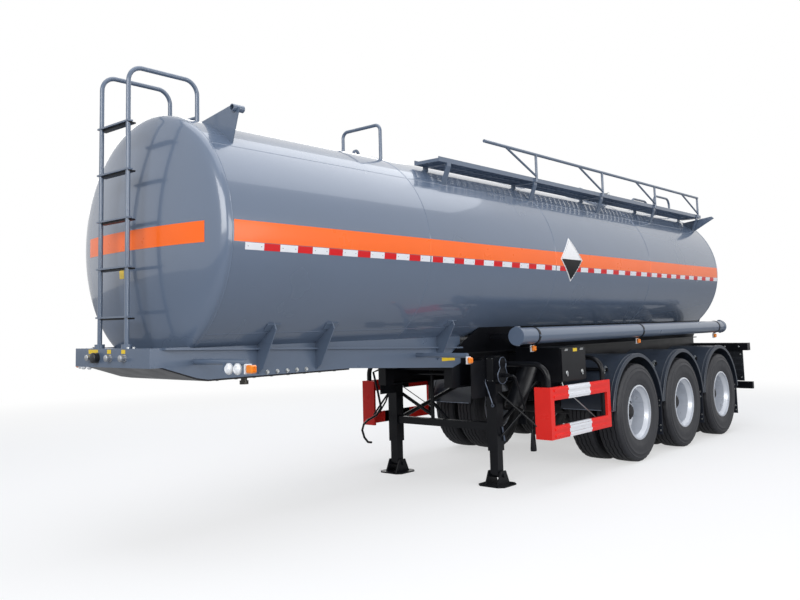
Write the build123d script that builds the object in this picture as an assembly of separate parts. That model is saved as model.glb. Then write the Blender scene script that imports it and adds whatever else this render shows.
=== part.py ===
from build123d import *
import math
import os

os.makedirs("parts", exist_ok=True)

# Three-axle tank semi-trailer for corrosive liquids. Millimetres, +X forward, +Y left, +Z up.
# Lengths along X are given from the first axle and shifted at export to the middle of the trailer.

# Overall
HALF_WIDTH = 1250.0
FRONT_X = 5800.0
COUPLING_REACH = 48.0
REAR_X = -3960.0

# Tank
TANK_R = 927.0
TANK_Z = 2243.0
TANK_FRONT = 5462.0
TANK_REAR = -3650.0
HEAD_DEPTH = 165.0
KNUCKLE_DEPTH = 83.0
KNUCKLE_DROP = 157.0
KNUCKLE_PULL = 0.58
SEAM_W = 14.0
SEAM_H = 3.0
SEAM_RINGS = (3310.0, 1160.0, -1240.0)

# Wheels and axles
AXLE_PITCH = 1310.0
AXLE_COUNT = 3
TYRE_R = 542.5
TYRE_W = 290.0
DUAL_GAP = 45.0
BEAD_R = 291.0
FLANGE_R = 302.0
DISC_T = 14.0
WELL_R = 262.0
HUB_R = 140.0
HUB_LENGTH = 150.0
HAND_HOLE_COUNT = 10
HAND_HOLE_R = 22.4
HAND_HOLE_CIRCLE_R = 232.0
DRUM_R = 208.0
DRUM_LENGTH = 180.0
SPINDLE_R = 40.0
AXLE_TUBE_R = 66.0
AXLE_END_GAP = 8.0
BEARING_GAP = 0.4
SPINDLE_SHORT = 30.0
BEAD_INSET = 37.0
HEEL_INSET = 23.0
BEAD_GAP = 0.3
WALL_INSET = 14.0
WALL_MID_R = 420.0
SHOULDER_R = 505.0
SHOULDER_MID_R = 528.0
SHOULDER_MID_W = 22.0
SHOULDER_W = 42.0
CROWN_DROP = 4.0
RIM_T = 10.0
RIM_SEAT = 40.0
DISC_FACE_R = 200.0
HUB_INSET = 60.0
HUB_NECK = 0.9
HUB_CAP = 0.72
HUB_CAP_T = 22.0
DRUM_FLOOR = 70.0
DRUM_WALL = 22.0

# The tyres' width sets the springs, and the rails stand over the springs
SPRING_W = 76.0
SPRING_TYRE_GAP = 100.0
INNER_TYRE_FACE = HALF_WIDTH - 2 * TYRE_W - DUAL_GAP
SPRING_Y = INNER_TYRE_FACE - SPRING_TYRE_GAP - SPRING_W / 2
FRAME_HALF = SPRING_Y

# Neck and front beam
WEB_T = 12.0
BEAM_DEPTH = 100.0
BEAM_TOP = 1462.0
BEAM_BOTTOM = 1330.0
PLATE_BOTTOM = 1218.0
PLATE_T = 12.0
PLATE_REAR = 3900.0
PLATE_FRONT = 5330.0
PLATE_BEND = 95.0
PLATE_BEND_RISE = 16.0
NECK_REAR = 2330.0
NECK_REAR_BOTTOM = 1136.0
LEDGE_FRONT_Z = 1462.0
LEDGE_REAR_Z = 1352.0
LEDGE_W = 34.0
LEDGE_T = 14.0
GUSSET_T = 10.0
GUSSET_STATIONS = (4880.0, 4280.0, 2700.0)
GUSSET_OUTSET = 168.0
GUSSET_FOOT_Z = 1240.0
CAP_SIZE = 130.0
CAP_T = 8.0

# Kingpin, two inch
KINGPIN_X = 4617.0
PIN_NECK_R = 25.4
PIN_SHOULDER_R = 36.5
PIN_HEAD_R = 35.7
PIN_SHOULDER_H = 18.0
PIN_NECK_H = 35.0
PIN_HEAD_H = 31.0
PIN_FLANGE_R = 90.0
PIN_FLANGE_T = 14.0
PIN_HOLE_GAP = 0.25

# Frame rails
RAIL_FRONT = 2460.0
RAIL_REAR = -3840.0
RAIL_TOP = 1290.0
RAIL_BOTTOM = 960.0
RAIL_FLANGE_W = 110.0
RAIL_FLANGE_T = 14.0
RAIL_WEB_T = 10.0
CROSS_STATIONS = (3300.0, 2250.0, 700.0, -655.0, -1965.0, -3300.0)
CROSS_DEPTH = 60.0
CROSS_TOP = 250.0
CROSS_RATIO = 1.6
SKIRT_T = 8.0
SKIRT_OUTSET = 125.0
SKIRT_BITE = 12.0
SKIRT_FRONT_TOP = 2130.0
SKIRT_FRONT_BOTTOM = 2480.0
SKIRT_REAR = -3700.0

# Ladders
LADDER_X = 5762.0
LADDER_REAR_X = -3924.0
LADDER_HALF = 180.0
LADDER_OFFSET = -35.0
LADDER_TUBE_R = 17.0
LADDER_TOP = 3475.0
LADDER_HOOP = 590.0
LADDER_BEND = 110.0
RUNG_LEVELS = (1680.0, 2030.0, 2376.0, 2722.0, 3070.0)
RUNG_T = 12.0
RUNG_W = 42.0
RUNG_END = 28.0
TIE_R = 13.0
TIE_RISE = 28.0
LADDER_FOOT_R = 36.0
LADDER_FOOT_T = 28.0

# Walkway
DECK_Z = 3104.0
DECK_OUT = 752.0
DECK_W = 290.0
DECK_T = 30.0
DECK_BAR = 6.0
DECK_BAR_PITCH = 110.0
BRACKET_PITCH = 1554.0
BRACKET_FRONT = 2773.0
BRACKET_COUNT = 5
BRACKET_ANGLE = 46.0
BRACKET_LEG_W = 60.0
BRACKET_LEG_T = 8.0
BRACKET_EDGE = 18.0
DECK_FRONT = 2930.0
DECK_REAR = -3600.0
RAIL_TUBE_R = 17.0
POST_R = 15.0
BRACE_R = 12.0
POST_FOOT = 60.0
HANDRAIL_Z = 3372.0
HANDRAIL_OVERHANG = 980.0
BRACE_REACH = 600.0

# Manhole
MANHOLE_X = -1390.0
NECK_R = 280.0
NECK_WALL = 10.0
NECK_TOP = 3262.0
NECK_FLANGE_R = 320.0
NECK_FLANGE_T = 22.0
LID_T = 20.0
LID_DOME = 46.0
LID_GAP = 0.3
HINGE_R = 14.0
HINGE_GAP = 0.4
HINGE_REACH = 372.0
CLAMP_COUNT = 6

# Landing gear
LEG_X = 2000.0
LEG_OUTSET = 154.0
LEG_Y = FRAME_HALF + LEG_OUTSET
LEG_OUTER = 115.0
LEG_INNER = 92.0
LEG_TOP = 1250.0
LEG_SPLIT = 330.0
FOOT_SIZE = 300.0
FOOT_T = 14.0
FOOT_CORNER = 45.0
CHEEK_T = 14.0
CHEEK_IN = 61.0
CHEEK_FOOT = 105.0
CHEEK_HEAD = 46.0
CHEEK_TOP = 138.0
FOOT_PIN_R = 26.0
FOOT_PIN_Z = 98.0
LEG_BOTTOM = 110.0
LEG_BAND = 10.0
WING_L = 250.0
WING_T = 10.0
WING_BOTTOM = 850.0
WING_DROP = 40.0
BRACKET_FORE = 60.0
BRACKET_AFT = 40.0
BRACKET_BOTTOM = 980.0
BRACKET_DROP = 20.0
BRACE_TUBE_HALF = 36.0
BRACE_Z = 560.0
POST_Y = -170.0
KNEE_R = 20.0
KNEE_Z = 860.0
KNEE_SPREAD = 230.0
BACK_BRACE_R = 22.0
BACK_BRACE_X = 760.0
GEARBOX_UPPER_Z = 1178.0
GEARBOX_LOWER_Z = 1062.0
GEARBOX_UPPER_R = 62.0
GEARBOX_LOWER_R = 84.0
GEARBOX_T = 48.0
GEARBOX_LEAN = 10.0
GEARBOX_WAIST = 50.0
STUB_SHAFT_R = 21.0
STUB_SHAFT_L = 70.0
SHAFT_R = 15.0
SHAFT_GAP = 3.0
CRANK_R = 11.0
CRANK_GRIP = 70.0
CRANK_THROW = 330.0
CRANK_BACK = 150.0
CRANK_BEND = 30.0
CLIP_REACH = 10.0
CLIP_Z = 480.0
CLIP_HALF = 12.0

# Side guards
GUARD_FRONT = 1910.0
GUARD_REAR = 660.0
GUARD_TOP = 948.0
GUARD_BOTTOM = 455.0
GUARD_BAR = 125.0
GUARD_BAR_T = 28.0
GUARD_INSET = 48.0
GUARD_Y = HALF_WIDTH - GUARD_INSET
GUARD_RETURN = 160.0
GUARD_POST = 72.0
GUARD_RIB = 8.0
GUARD_RIB_HALF = 12.0
STAY_R = 10.0
STAY_TOP = 900.0
STAY_LOW = 560.0

# Hose tubes
HOSE_R = 80.0
HOSE_INSET = 200.0
HOSE_Y = HALF_WIDTH - HOSE_INSET
HOSE_Z = 1445.0
HOSE_FRONT = 2206.0
HOSE_REAR = -3270.0
HOSE_CAP_R = 84.0
HOSE_CAP_W = 60.0
STRAP_STATIONS = (1900.0, -480.0, -3020.0)
STRAP_W = 30.0
STRAP_T = 5.0
HOSE_ARM_H = 50.0
LAMP_STEM = 6.0

# Mudguards
MUDGUARD_R = 648.0
MUDGUARD_T = 8.0
MUDGUARD_OVERLAP = 13.0
MUDGUARD_INSET = 5.0
MUDGUARD_INNER_Y = INNER_TYRE_FACE - MUDGUARD_OVERLAP
MUDGUARD_OUTER_Y = HALF_WIDTH - MUDGUARD_INSET
MUDGUARD_END_Z = 610.0
MUDGUARD_LIP = 26.0
BRACKET_TUBE_R = 19.0
BRACKET_TUBE_ANGLE = 48.0
BRACKET_TUBE_END = 150.0
FLAP_BOTTOM = 225.0
FLAP_T = 8.0
FLAP_LAP = 60.0
FLAP_SIDE = 20.0

# Toolbox and trough
BOX_FRONT = 1450.0
BOX_REAR = 930.0
BOX_OUTSET = 73.0
BOX_INSET = 170.0
BOX_OUT = HALF_WIDTH - BOX_INSET
BOX_IN = FRAME_HALF + BOX_OUTSET
BOX_TOP = 1310.0
BOX_BOTTOM = 965.0
BOX_DOOR_T = 14.0
BOX_DOOR_RIM = 12.0
BOX_BRACKET_W = 40.0
BOX_BRACKET_RIM = 60.0

# Suspension
SPRING_LEAF_T = 13.0
SPRING_LEAVES = 5
SPRING_HALF = 600.0
SPRING_CAMBER = 70.0
LEAF_STEP = 0.17
SEAT_HALF_X = 60.0
SEAT_HALF_Y = 50.0
SEAT_H = 40.0
SEAT_GAP = 0.3
HANGER_W = 110.0
HANGER_L = 130.0
HANGER_FOOT = 70.0
HANGER_DROP = 90.0
HANGER_LEAD = 30.0
HANGER_SLOT = 2.0
HANGER_PIN_R = 18.0
HANGER_PIN_DROP = 55.0
CHAMBER_R = 82.0
CHAMBER_L = 120.0
CHAMBER_INSET = 237.0
CHAMBER_X = 190.0
CHAMBER_RISE = 40.0
CHAMBER_TILT = 20.0
CHAMBER_ARM_T = 16.0

# Rear end
REAR_BEAM_TOP = 1190.0
REAR_BEAM_BOTTOM = 1080.0
REAR_BEAM_HALF = 1227.0
BUMPER_TOP = 621.0
BUMPER_BOTTOM = 518.0
BUMPER_HALF = 1245.0
BUMPER_DEPTH = 60.0
PANEL_IN = 620.0
PANEL_OUT = 1130.0
PANEL_BOTTOM = 630.0
PANEL_T = 20.0
PANEL_RIBS = 5
PANEL_RIB_T = 18.0
PANEL_RIB_H = 34.0
PANEL_RIB_PITCH = 84.0
PANEL_RIB_START = 50.0
PANEL_RIM = 20.0
POST_IN = 400.0
POST_OUT = 470.0
LAMP_DEPTH = 34.0
TAIL_LAMP_Y = (700.0, 860.0, 1020.0)
TAIL_LAMP_Z = 1010.0
TAIL_LAMP_R = 62.0

MID_X = (FRONT_X + COUPLING_REACH + REAR_X) / 2
AXLE_STATIONS = [-AXLE_PITCH * i for i in range(AXLE_COUNT)]
SIDES = ((1, "left"), (-1, "right"))


def block(x0, x1, y0, y1, z0, z1):
    size = Box(abs(x1 - x0), abs(y1 - y0), abs(z1 - z0))
    return Pos((x0 + x1) / 2, (y0 + y1) / 2, (z0 + z1) / 2) * size


def rod(start, end, radius):
    run = Vector(*end) - Vector(*start)
    return Solid.make_cylinder(radius, run.length, Plane(origin=start, z_dir=run))


def pipe(points, radius, bend):
    path = FilletPolyline(*points, radius=bend)
    lead = Vector(*points[1]) - Vector(*points[0])
    return sweep(Plane(origin=points[0], z_dir=lead) * Circle(radius), path=path)


def plate_xz(points, y0, y1):
    face = make_face(Polyline(*[(x, 0, z) for x, z in points], close=True))
    return Pos(0, min(y0, y1), 0) * extrude(face, amount=abs(y1 - y0), dir=(0, 1, 0))


def plate_yz(points, x0, x1):
    face = make_face(Polyline(*[(0, y, z) for y, z in points], close=True))
    return Pos(min(x0, x1), 0, 0) * extrude(face, amount=abs(x1 - x0), dir=(1, 0, 0))


def turn_about_y(profile, x, y, z):
    # profile lies in the XY plane with its radius along X and its axis along Y
    return Pos(x, y, z) * revolve(profile, axis=Axis.Y)


def mirrored(shape):
    return mirror(shape, about=Plane.XZ)


def fused(shapes):
    first, *rest = shapes
    return first.fuse(*rest) if rest else first


def save(shape, node):
    export_step(Pos(-MID_X, 0, 0) * shape, f"parts/{node}.step")


def on_tank(angle, radius=TANK_R):
    # a point of the tank section, angle in degrees from straight up towards the left
    turn = math.radians(angle)
    return radius * math.sin(turn), TANK_Z + radius * math.cos(turn)


# Tank, turned about its axis
def head_lines(sign, seam):
    # the crown is an arc square to the axis at its tip, and the knuckle blends it into the shell
    edge_r = TANK_R - KNUCKLE_DROP
    crown = HEAD_DEPTH - KNUCKLE_DEPTH
    crown_r = (edge_r ** 2 + crown ** 2) / (2 * crown)
    lean = math.asin(edge_r / crown_r)
    half = edge_r / 2
    sag = crown_r - math.sqrt(crown_r ** 2 - half ** 2)
    start = (seam, TANK_R)
    edge = (seam + sign * KNUCKLE_DEPTH, edge_r)
    middle = (seam + sign * (HEAD_DEPTH - sag), half)
    tip = (seam + sign * HEAD_DEPTH, 0.0)
    pull = KNUCKLE_DROP * KNUCKLE_PULL
    knuckle = Bezier(start, (seam + sign * KNUCKLE_DEPTH * KNUCKLE_PULL, TANK_R),
                     (edge[0] - sign * pull * math.sin(lean), edge_r + pull * math.cos(lean)), edge)
    return knuckle, ThreePointArc(edge, middle, tip), start, tip


front_knuckle, front_crown, front_edge, front_tip = head_lines(1, TANK_FRONT)
rear_knuckle, rear_crown, rear_edge, rear_tip = head_lines(-1, TANK_REAR)
shell_line = [front_edge]
for seam_x in (TANK_FRONT - SEAM_W, *SEAM_RINGS, TANK_REAR + SEAM_W):
    shell_line += [
        (seam_x + SEAM_W / 2, TANK_R), (seam_x + SEAM_W / 4, TANK_R + SEAM_H),
        (seam_x - SEAM_W / 4, TANK_R + SEAM_H), (seam_x - SEAM_W / 2, TANK_R),
    ]
shell_line.append(rear_edge)
outline = Curve() + [
    rear_knuckle, rear_crown, Line(rear_tip, front_tip), front_crown, front_knuckle, Polyline(*shell_line),
]
tank = Pos(0, 0, TANK_Z) * revolve(make_face(outline), axis=Axis.X)
save(tank, "tank_shell")

# Neck: two girders with a ledge, and the cross beam at the front
web_points = [
    (FRONT_X - BEAM_DEPTH, BEAM_BOTTOM),
    (PLATE_FRONT + PLATE_BEND, PLATE_BOTTOM + PLATE_T + PLATE_BEND_RISE),
    (PLATE_FRONT, PLATE_BOTTOM + PLATE_T),
    (PLATE_REAR, PLATE_BOTTOM + PLATE_T),
    (NECK_REAR + 130, NECK_REAR_BOTTOM + 22),
    (NECK_REAR, NECK_REAR_BOTTOM + 60),
    (NECK_REAR, BEAM_TOP),
    (FRONT_X - BEAM_DEPTH, BEAM_TOP),
]
ledge_points = [
    (FRONT_X - BEAM_DEPTH, LEDGE_FRONT_Z),
    (NECK_REAR, LEDGE_REAR_Z),
    (NECK_REAR, LEDGE_REAR_Z - LEDGE_T),
    (FRONT_X - BEAM_DEPTH, LEDGE_FRONT_Z - LEDGE_T),
]
girder = plate_xz(web_points, FRAME_HALF - WEB_T, FRAME_HALF)
girder += plate_xz(ledge_points, FRAME_HALF - WEB_T, FRAME_HALF + LEDGE_W)
girder -= tank
save(Compound(children=[girder, mirrored(girder)]), "neck_girders")

front_beam = block(FRONT_X - BEAM_DEPTH, FRONT_X, -FRAME_HALF, FRAME_HALF, BEAM_BOTTOM, BEAM_TOP)
front_beam -= block(FRONT_X - BEAM_DEPTH, FRONT_X - WEB_T, -FRAME_HALF + WEB_T, FRAME_HALF - WEB_T,
                    BEAM_BOTTOM + WEB_T, BEAM_TOP - WEB_T)
save(front_beam, "front_beam")

# Gussets from the girder up to pads on the tank
gussets = []
gusset_angle = math.degrees(math.asin((FRAME_HALF + GUSSET_OUTSET) / TANK_R))
pad_y, pad_z = on_tank(180 - gusset_angle)
low_y, low_z = on_tank(180 - gusset_angle + 9)
for station in GUSSET_STATIONS:
    blade = plate_yz(
        [(FRAME_HALF, GUSSET_FOOT_Z), (FRAME_HALF + 60, GUSSET_FOOT_Z + 40), (pad_y + 45, pad_z - 20),
         (pad_y + 10, pad_z + 60), (low_y - 60, low_z + 60), (FRAME_HALF, BEAM_TOP + 60)],
        station - GUSSET_T / 2, station + GUSSET_T / 2)
    pad = rod((station - CAP_SIZE / 2, 0, TANK_Z), (station + CAP_SIZE / 2, 0, TANK_Z), TANK_R + CAP_T)
    window = Pos(station, pad_y, pad_z) * Rot(-gusset_angle, 0, 0)
    pad = pad & (window * Box(CAP_SIZE, CAP_SIZE, 3 * CAP_T + 40))
    blade = (blade + pad) - tank
    blade -= block(station - GUSSET_T, station + GUSSET_T, 0, FRAME_HALF, 0, TANK_Z)
    blade -= plate_xz(ledge_points, 0, FRAME_HALF + LEDGE_W)
    gussets += [s for s in blade.solids()]
gussets += [mirrored(s) for s in gussets]
save(Compound(children=gussets), "neck_gussets")

# Coupler plate with its sloping lead, and the kingpin
lead_points = [
    (FRONT_X - BEAM_DEPTH + 30, BEAM_BOTTOM),
    (PLATE_FRONT + PLATE_BEND, PLATE_BOTTOM + PLATE_BEND_RISE),
    (PLATE_FRONT, PLATE_BOTTOM),
    (PLATE_REAR, PLATE_BOTTOM),
    (PLATE_REAR, PLATE_BOTTOM + PLATE_T),
    (PLATE_FRONT, PLATE_BOTTOM + PLATE_T),
    (PLATE_FRONT + PLATE_BEND, PLATE_BOTTOM + PLATE_T + PLATE_BEND_RISE),
    (FRONT_X - BEAM_DEPTH, BEAM_BOTTOM),
]
coupler = plate_xz(lead_points, -FRAME_HALF, FRAME_HALF)
coupler -= rod((KINGPIN_X, 0, PLATE_BOTTOM - PLATE_T), (KINGPIN_X, 0, PLATE_BOTTOM + 2 * PLATE_T),
               PIN_SHOULDER_R + PIN_HOLE_GAP)
save(coupler, "coupler_plate")

# the flange seats on the plate, and shoulder, neck and head follow below it
shoulder_z = -PIN_SHOULDER_H
neck_z = shoulder_z - PIN_NECK_H
head_z = neck_z - PIN_HEAD_H
pin_profile = Polyline(
    (0, PLATE_T + PIN_FLANGE_T), (PIN_FLANGE_R, PLATE_T + PIN_FLANGE_T), (PIN_FLANGE_R, PLATE_T),
    (PIN_SHOULDER_R, PLATE_T), (PIN_SHOULDER_R, shoulder_z), (PIN_NECK_R, shoulder_z), (PIN_NECK_R, neck_z),
    (PIN_HEAD_R, neck_z), (PIN_HEAD_R, head_z), (0, head_z), close=True)
pin = revolve(make_face(Plane.XZ * pin_profile), axis=Axis.Z)
save(Pos(KINGPIN_X, 0, PLATE_BOTTOM) * pin, "kingpin")

# Air and electric couplings on the front beam
AIR_COUPLING_R = 22.0
SOCKET_R = 38.0
COUPLING_SEAT = 30.0
COUPLING_TAPER = 0.8
COUPLINGS = ((-290.0, AIR_COUPLING_R), (-185.0, AIR_COUPLING_R), (-20.0, SOCKET_R), (165.0, AIR_COUPLING_R))
couplings = []
coupling_z = (BEAM_TOP + BEAM_BOTTOM) / 2
seat_x = FRONT_X + COUPLING_SEAT
for y, radius in COUPLINGS:
    seat = rod((FRONT_X, y, coupling_z), (seat_x, y, coupling_z), radius)
    head = rod((seat_x, y, coupling_z), (FRONT_X + COUPLING_REACH, y, coupling_z), radius * COUPLING_TAPER)
    couplings.append(seat + head)
save(Compound(children=couplings), "front_couplings")

# Frame rails, cross members and the skirts that seat the tank
rail_mid = FRAME_HALF - RAIL_FLANGE_W / 2
rail_in = FRAME_HALF - RAIL_FLANGE_W
web_out = rail_mid + RAIL_WEB_T / 2
splice_out = FRAME_HALF - WEB_T
rail = fused([
    block(RAIL_REAR, NECK_REAR, rail_in, FRAME_HALF, RAIL_TOP - RAIL_FLANGE_T, RAIL_TOP),
    block(RAIL_REAR, NECK_REAR, rail_in, FRAME_HALF, RAIL_BOTTOM, RAIL_BOTTOM + RAIL_FLANGE_T),
    block(RAIL_REAR, NECK_REAR, rail_mid - RAIL_WEB_T / 2, web_out, RAIL_BOTTOM, RAIL_TOP),
    block(NECK_REAR, RAIL_FRONT, rail_in, splice_out, RAIL_BOTTOM, RAIL_TOP),
])
rail -= rod((LEG_X, 0, GEARBOX_LOWER_Z), (LEG_X, LEG_Y, GEARBOX_LOWER_Z), SHAFT_R + SHAFT_GAP)
save(Compound(children=[rail, mirrored(rail)]), "frame_rails")

crosses = []
for station in (*CROSS_STATIONS, LEG_X):
    inner = FRAME_HALF - WEB_T if station > RAIL_FRONT else rail_mid - RAIL_WEB_T / 2
    top = PLATE_BOTTOM + PLATE_T + CROSS_DEPTH if station > RAIL_FRONT else RAIL_BOTTOM + CROSS_TOP
    crosses.append(block(station - CROSS_DEPTH / 2, station + CROSS_DEPTH / 2, -inner, inner,
                         top - CROSS_DEPTH * CROSS_RATIO, top))
save(Compound(children=crosses), "frame_crossmembers")

skirt_y = FRAME_HALF + SKIRT_OUTSET
skirt_z = TANK_Z - math.sqrt((TANK_R - SKIRT_BITE) ** 2 - skirt_y ** 2)
skirt = plate_yz(
    [(FRAME_HALF - SKIRT_T, RAIL_TOP), (FRAME_HALF, RAIL_TOP), (skirt_y, skirt_z), (skirt_y - SKIRT_T, skirt_z)],
    SKIRT_REAR, SKIRT_FRONT_BOTTOM)
skirt = skirt - tank - girder
skirt -= plate_xz(
    [(SKIRT_FRONT_BOTTOM, RAIL_TOP), (SKIRT_FRONT_TOP, skirt_z), (SKIRT_FRONT_TOP, skirt_z + 60),
     (SKIRT_FRONT_BOTTOM + 50, skirt_z + 60), (SKIRT_FRONT_BOTTOM + 50, RAIL_TOP)], 0, HALF_WIDTH)
skirt = max(skirt.solids(), key=lambda s: s.volume)
save(Compound(children=[skirt, mirrored(skirt)]), "saddle_skirts")

# Marker lamp arms and lamps
ARM_R = 21.0
ARM_FRONT_X = 5439.0
ARM_FRONT_Z = 1361.0
ARM_REAR_X = 3000.0
ARM_REAR_Z = 1300.0
ARM_END_Y = HALF_WIDTH - HOSE_INSET
ARM_TAB_T = 6.0
LAMP_DROP = 42.0
LAMP_W = 62.0
LAMP_H = 66.0
LAMP_T = 46.0
FRONT_LAMP_R = 38.0
FRONT_LAMP_T = 26.0
FRONT_LAMP_YS = (835.0, 925.0)
arms = []
lamps = []
for arm_x, arm_z in ((ARM_FRONT_X, ARM_FRONT_Z), (ARM_REAR_X, ARM_REAR_Z)):
    lamp_z = arm_z - LAMP_DROP
    arm = rod((arm_x, FRAME_HALF, arm_z), (arm_x, ARM_END_Y, arm_z), ARM_R)
    arm += block(arm_x - ARM_R + 2, arm_x + ARM_R - 2, ARM_END_Y - ARM_TAB_T, ARM_END_Y, lamp_z - LAMP_H / 3, arm_z)
    lamps.append(block(arm_x - LAMP_W / 2, arm_x + LAMP_W / 2, ARM_END_Y, ARM_END_Y + LAMP_T,
                       lamp_z - LAMP_H / 2, lamp_z + LAMP_H / 2))
    if arm_x == ARM_FRONT_X:
        for lamp_y in FRONT_LAMP_YS:
            arm += block(arm_x, arm_x + ARM_R, lamp_y - 12, lamp_y + 12, lamp_z - 14, arm_z)
            lamps.append(rod((arm_x + ARM_R, lamp_y, lamp_z), (arm_x + ARM_R + FRONT_LAMP_T, lamp_y, lamp_z),
                             FRONT_LAMP_R))
    arms.append(arm)
arms += [mirrored(s) for s in arms]
save(Compound(children=arms), "marker_arms")

# Hose tubes with straps, hangers and the lamps below them
hose_parts = [rod((HOSE_REAR, HOSE_Y, HOSE_Z), (HOSE_FRONT, HOSE_Y, HOSE_Z), HOSE_R)]
for cap_x in (HOSE_FRONT - HOSE_CAP_W, HOSE_REAR):
    hose_parts.append(rod((cap_x, HOSE_Y, HOSE_Z), (cap_x + HOSE_CAP_W, HOSE_Y, HOSE_Z), HOSE_CAP_R))
hose = fused(hose_parts)
save(hose, "hose_tube_left")
save(mirrored(hose), "hose_tube_right")
straps = []
strap_low = HOSE_Z - HOSE_R - STRAP_T
for strap_x in STRAP_STATIONS:
    x0, x1 = strap_x - STRAP_W / 2, strap_x + STRAP_W / 2
    ring = rod((x0, HOSE_Y, HOSE_Z), (x1, HOSE_Y, HOSE_Z), HOSE_R + STRAP_T)
    ring += block(x0, x1, FRAME_HALF, HOSE_Y, HOSE_Z - HOSE_ARM_H / 2, HOSE_Z + HOSE_ARM_H / 2)
    ring += block(x0, x1, HOSE_Y - 10, HOSE_Y + 10, strap_low - LAMP_STEM, HOSE_Z)
    strap = ring - rod((x0, HOSE_Y, HOSE_Z), (x1, HOSE_Y, HOSE_Z), HOSE_R) - skirt
    straps.append(max(strap.solids(), key=lambda piece: piece.volume))
    lamp_top = strap_low - LAMP_STEM
    lamps.append(block(strap_x - LAMP_W / 2, strap_x + LAMP_W / 2, HOSE_Y - LAMP_T / 2, HOSE_Y + LAMP_T / 2,
                       lamp_top - LAMP_H, lamp_top))
straps += [mirrored(s) for s in straps]
save(Compound(children=straps), "hose_tube_hangers")
lamps += [mirrored(s) for s in lamps]
save(Compound(children=lamps), "marker_lamps")

# Ladders, each two tubes hooped back to the tank and joined by rungs
def ladder(x, lean, levels, foot_z):
    parts = []
    for side in (1, -1):
        y = LADDER_OFFSET + side * LADDER_HALF
        land = x - lean * LADDER_HOOP
        land_z = TANK_Z + math.sqrt(TANK_R ** 2 - y ** 2) - 4
        parts.append(pipe([(x, y, foot_z + LADDER_FOOT_T), (x, y, LADDER_TOP), (land, y, LADDER_TOP),
                           (land, y, land_z)], LADDER_TUBE_R, LADDER_BEND))
        parts.append(rod((x, y, foot_z), (x, y, foot_z + LADDER_FOOT_T), LADDER_FOOT_R))
    low_y = LADDER_OFFSET - LADDER_HALF
    high_y = LADDER_OFFSET + LADDER_HALF
    for level in levels:
        parts.append(block(x - RUNG_W / 2, x + RUNG_W / 2, low_y - RUNG_END, high_y + RUNG_END,
                           level - RUNG_T / 2, level + RUNG_T / 2))
    across = x - lean * LADDER_HOOP
    tie_z = TANK_Z + TANK_R + TIE_RISE
    parts.append(rod((across, low_y, tie_z), (across, high_y, tie_z), TIE_R))
    return fused(parts)


save(ladder(LADDER_X, 1, RUNG_LEVELS, BEAM_TOP) - tank, "front_ladder")
save(ladder(LADDER_REAR_X, -1, RUNG_LEVELS, REAR_BEAM_TOP) - tank, "rear_ladder")

# Corner plates with a stub tube at the front seam, and bare plates at the rear, on both sides
CORNER_FRONT_X = 5230.0
CORNER_REAR_X = -3492.0
CORNER_T = 10.0
CORNER_FRONT_ANGLES = (17.5, 45.0)
CORNER_FRONT_TIP = ((735.0, 3150.0), (660.0, 3185.0))
CORNER_REAR_ANGLES = (33.0, 47.0)
CORNER_REAR_TIP = ((985.0, 3045.0), (950.0, 3075.0))
STUB_Y = 693.0
STUB_Z = 3152.0
STUB_R = 26.0
STUB_BORE = 20.0


def corner_plate(station, inner_angle, outer_angle, tip):
    # a plate square to the tank, from two angles of its section out to the tip's two corners
    inner_y, inner_z = on_tank(inner_angle, TANK_R - 6)
    outer_y, outer_z = on_tank(outer_angle, TANK_R - 6)
    plate = plate_yz([(inner_y, inner_z), (outer_y, outer_z), *tip], station, station + CORNER_T) - tank
    return max(plate.solids(), key=lambda piece: piece.volume)


front_corner = corner_plate(CORNER_FRONT_X, *CORNER_FRONT_ANGLES, CORNER_FRONT_TIP)
front_corner += rod((CORNER_FRONT_X - 60, STUB_Y, STUB_Z), (CORNER_FRONT_X + 40, STUB_Y, STUB_Z), STUB_R)
front_corner -= rod((CORNER_FRONT_X - 60, STUB_Y, STUB_Z), (CORNER_FRONT_X + 40, STUB_Y, STUB_Z), STUB_BORE)
rear_corner = corner_plate(CORNER_REAR_X, *CORNER_REAR_ANGLES, CORNER_REAR_TIP)
corners = [front_corner, rear_corner]
corners += [mirrored(s) for s in corners]
save(Compound(children=corners), "corner_plates")

# Grab hoop, lifting eyes and the vent valve on the tank top
HOOP_X = 3300.0
HOOP_TOP = 3425.0
HOOP_R = 16.0
HOOP_BEND = 60.0
EYE_X = 3240.0
EYE_R = 45.0
EYE_RISE = 40.0
EYE_HALF_T = 8.0
EYE_BORE = 22.0
VENT_X = 300.0
VENT_R = 50.0
VENT_STEM = 60.0
VENT_FLANGE_R = 85.0
VENT_FLANGE_T = 16.0
VENT_CAP_R = 60.0
VENT_CAP_H = 64.0
hoop_ends = (-110.0, 365.0)
hoop_path = [(HOOP_X, hoop_ends[0], TANK_Z + math.sqrt(TANK_R ** 2 - hoop_ends[0] ** 2) - 2),
             (HOOP_X, hoop_ends[0], HOOP_TOP), (HOOP_X, hoop_ends[1], HOOP_TOP),
             (HOOP_X, hoop_ends[1], TANK_Z + math.sqrt(TANK_R ** 2 - hoop_ends[1] ** 2) - 8)]
hoop = pipe(hoop_path, HOOP_R, HOOP_BEND) - tank
top_z = TANK_Z + TANK_R
eye_z = top_z + EYE_RISE
eye = block(EYE_X - EYE_R, EYE_X + EYE_R, -EYE_HALF_T, EYE_HALF_T, top_z - EYE_HALF_T, eye_z)
eye += rod((EYE_X, -EYE_HALF_T, eye_z), (EYE_X, EYE_HALF_T, eye_z), EYE_R)
eye -= rod((EYE_X, -EYE_R, eye_z), (EYE_X, EYE_R, eye_z), EYE_BORE)
eye -= tank
vent_flange = top_z + VENT_STEM
vent_cap = vent_flange + VENT_FLANGE_T
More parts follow.
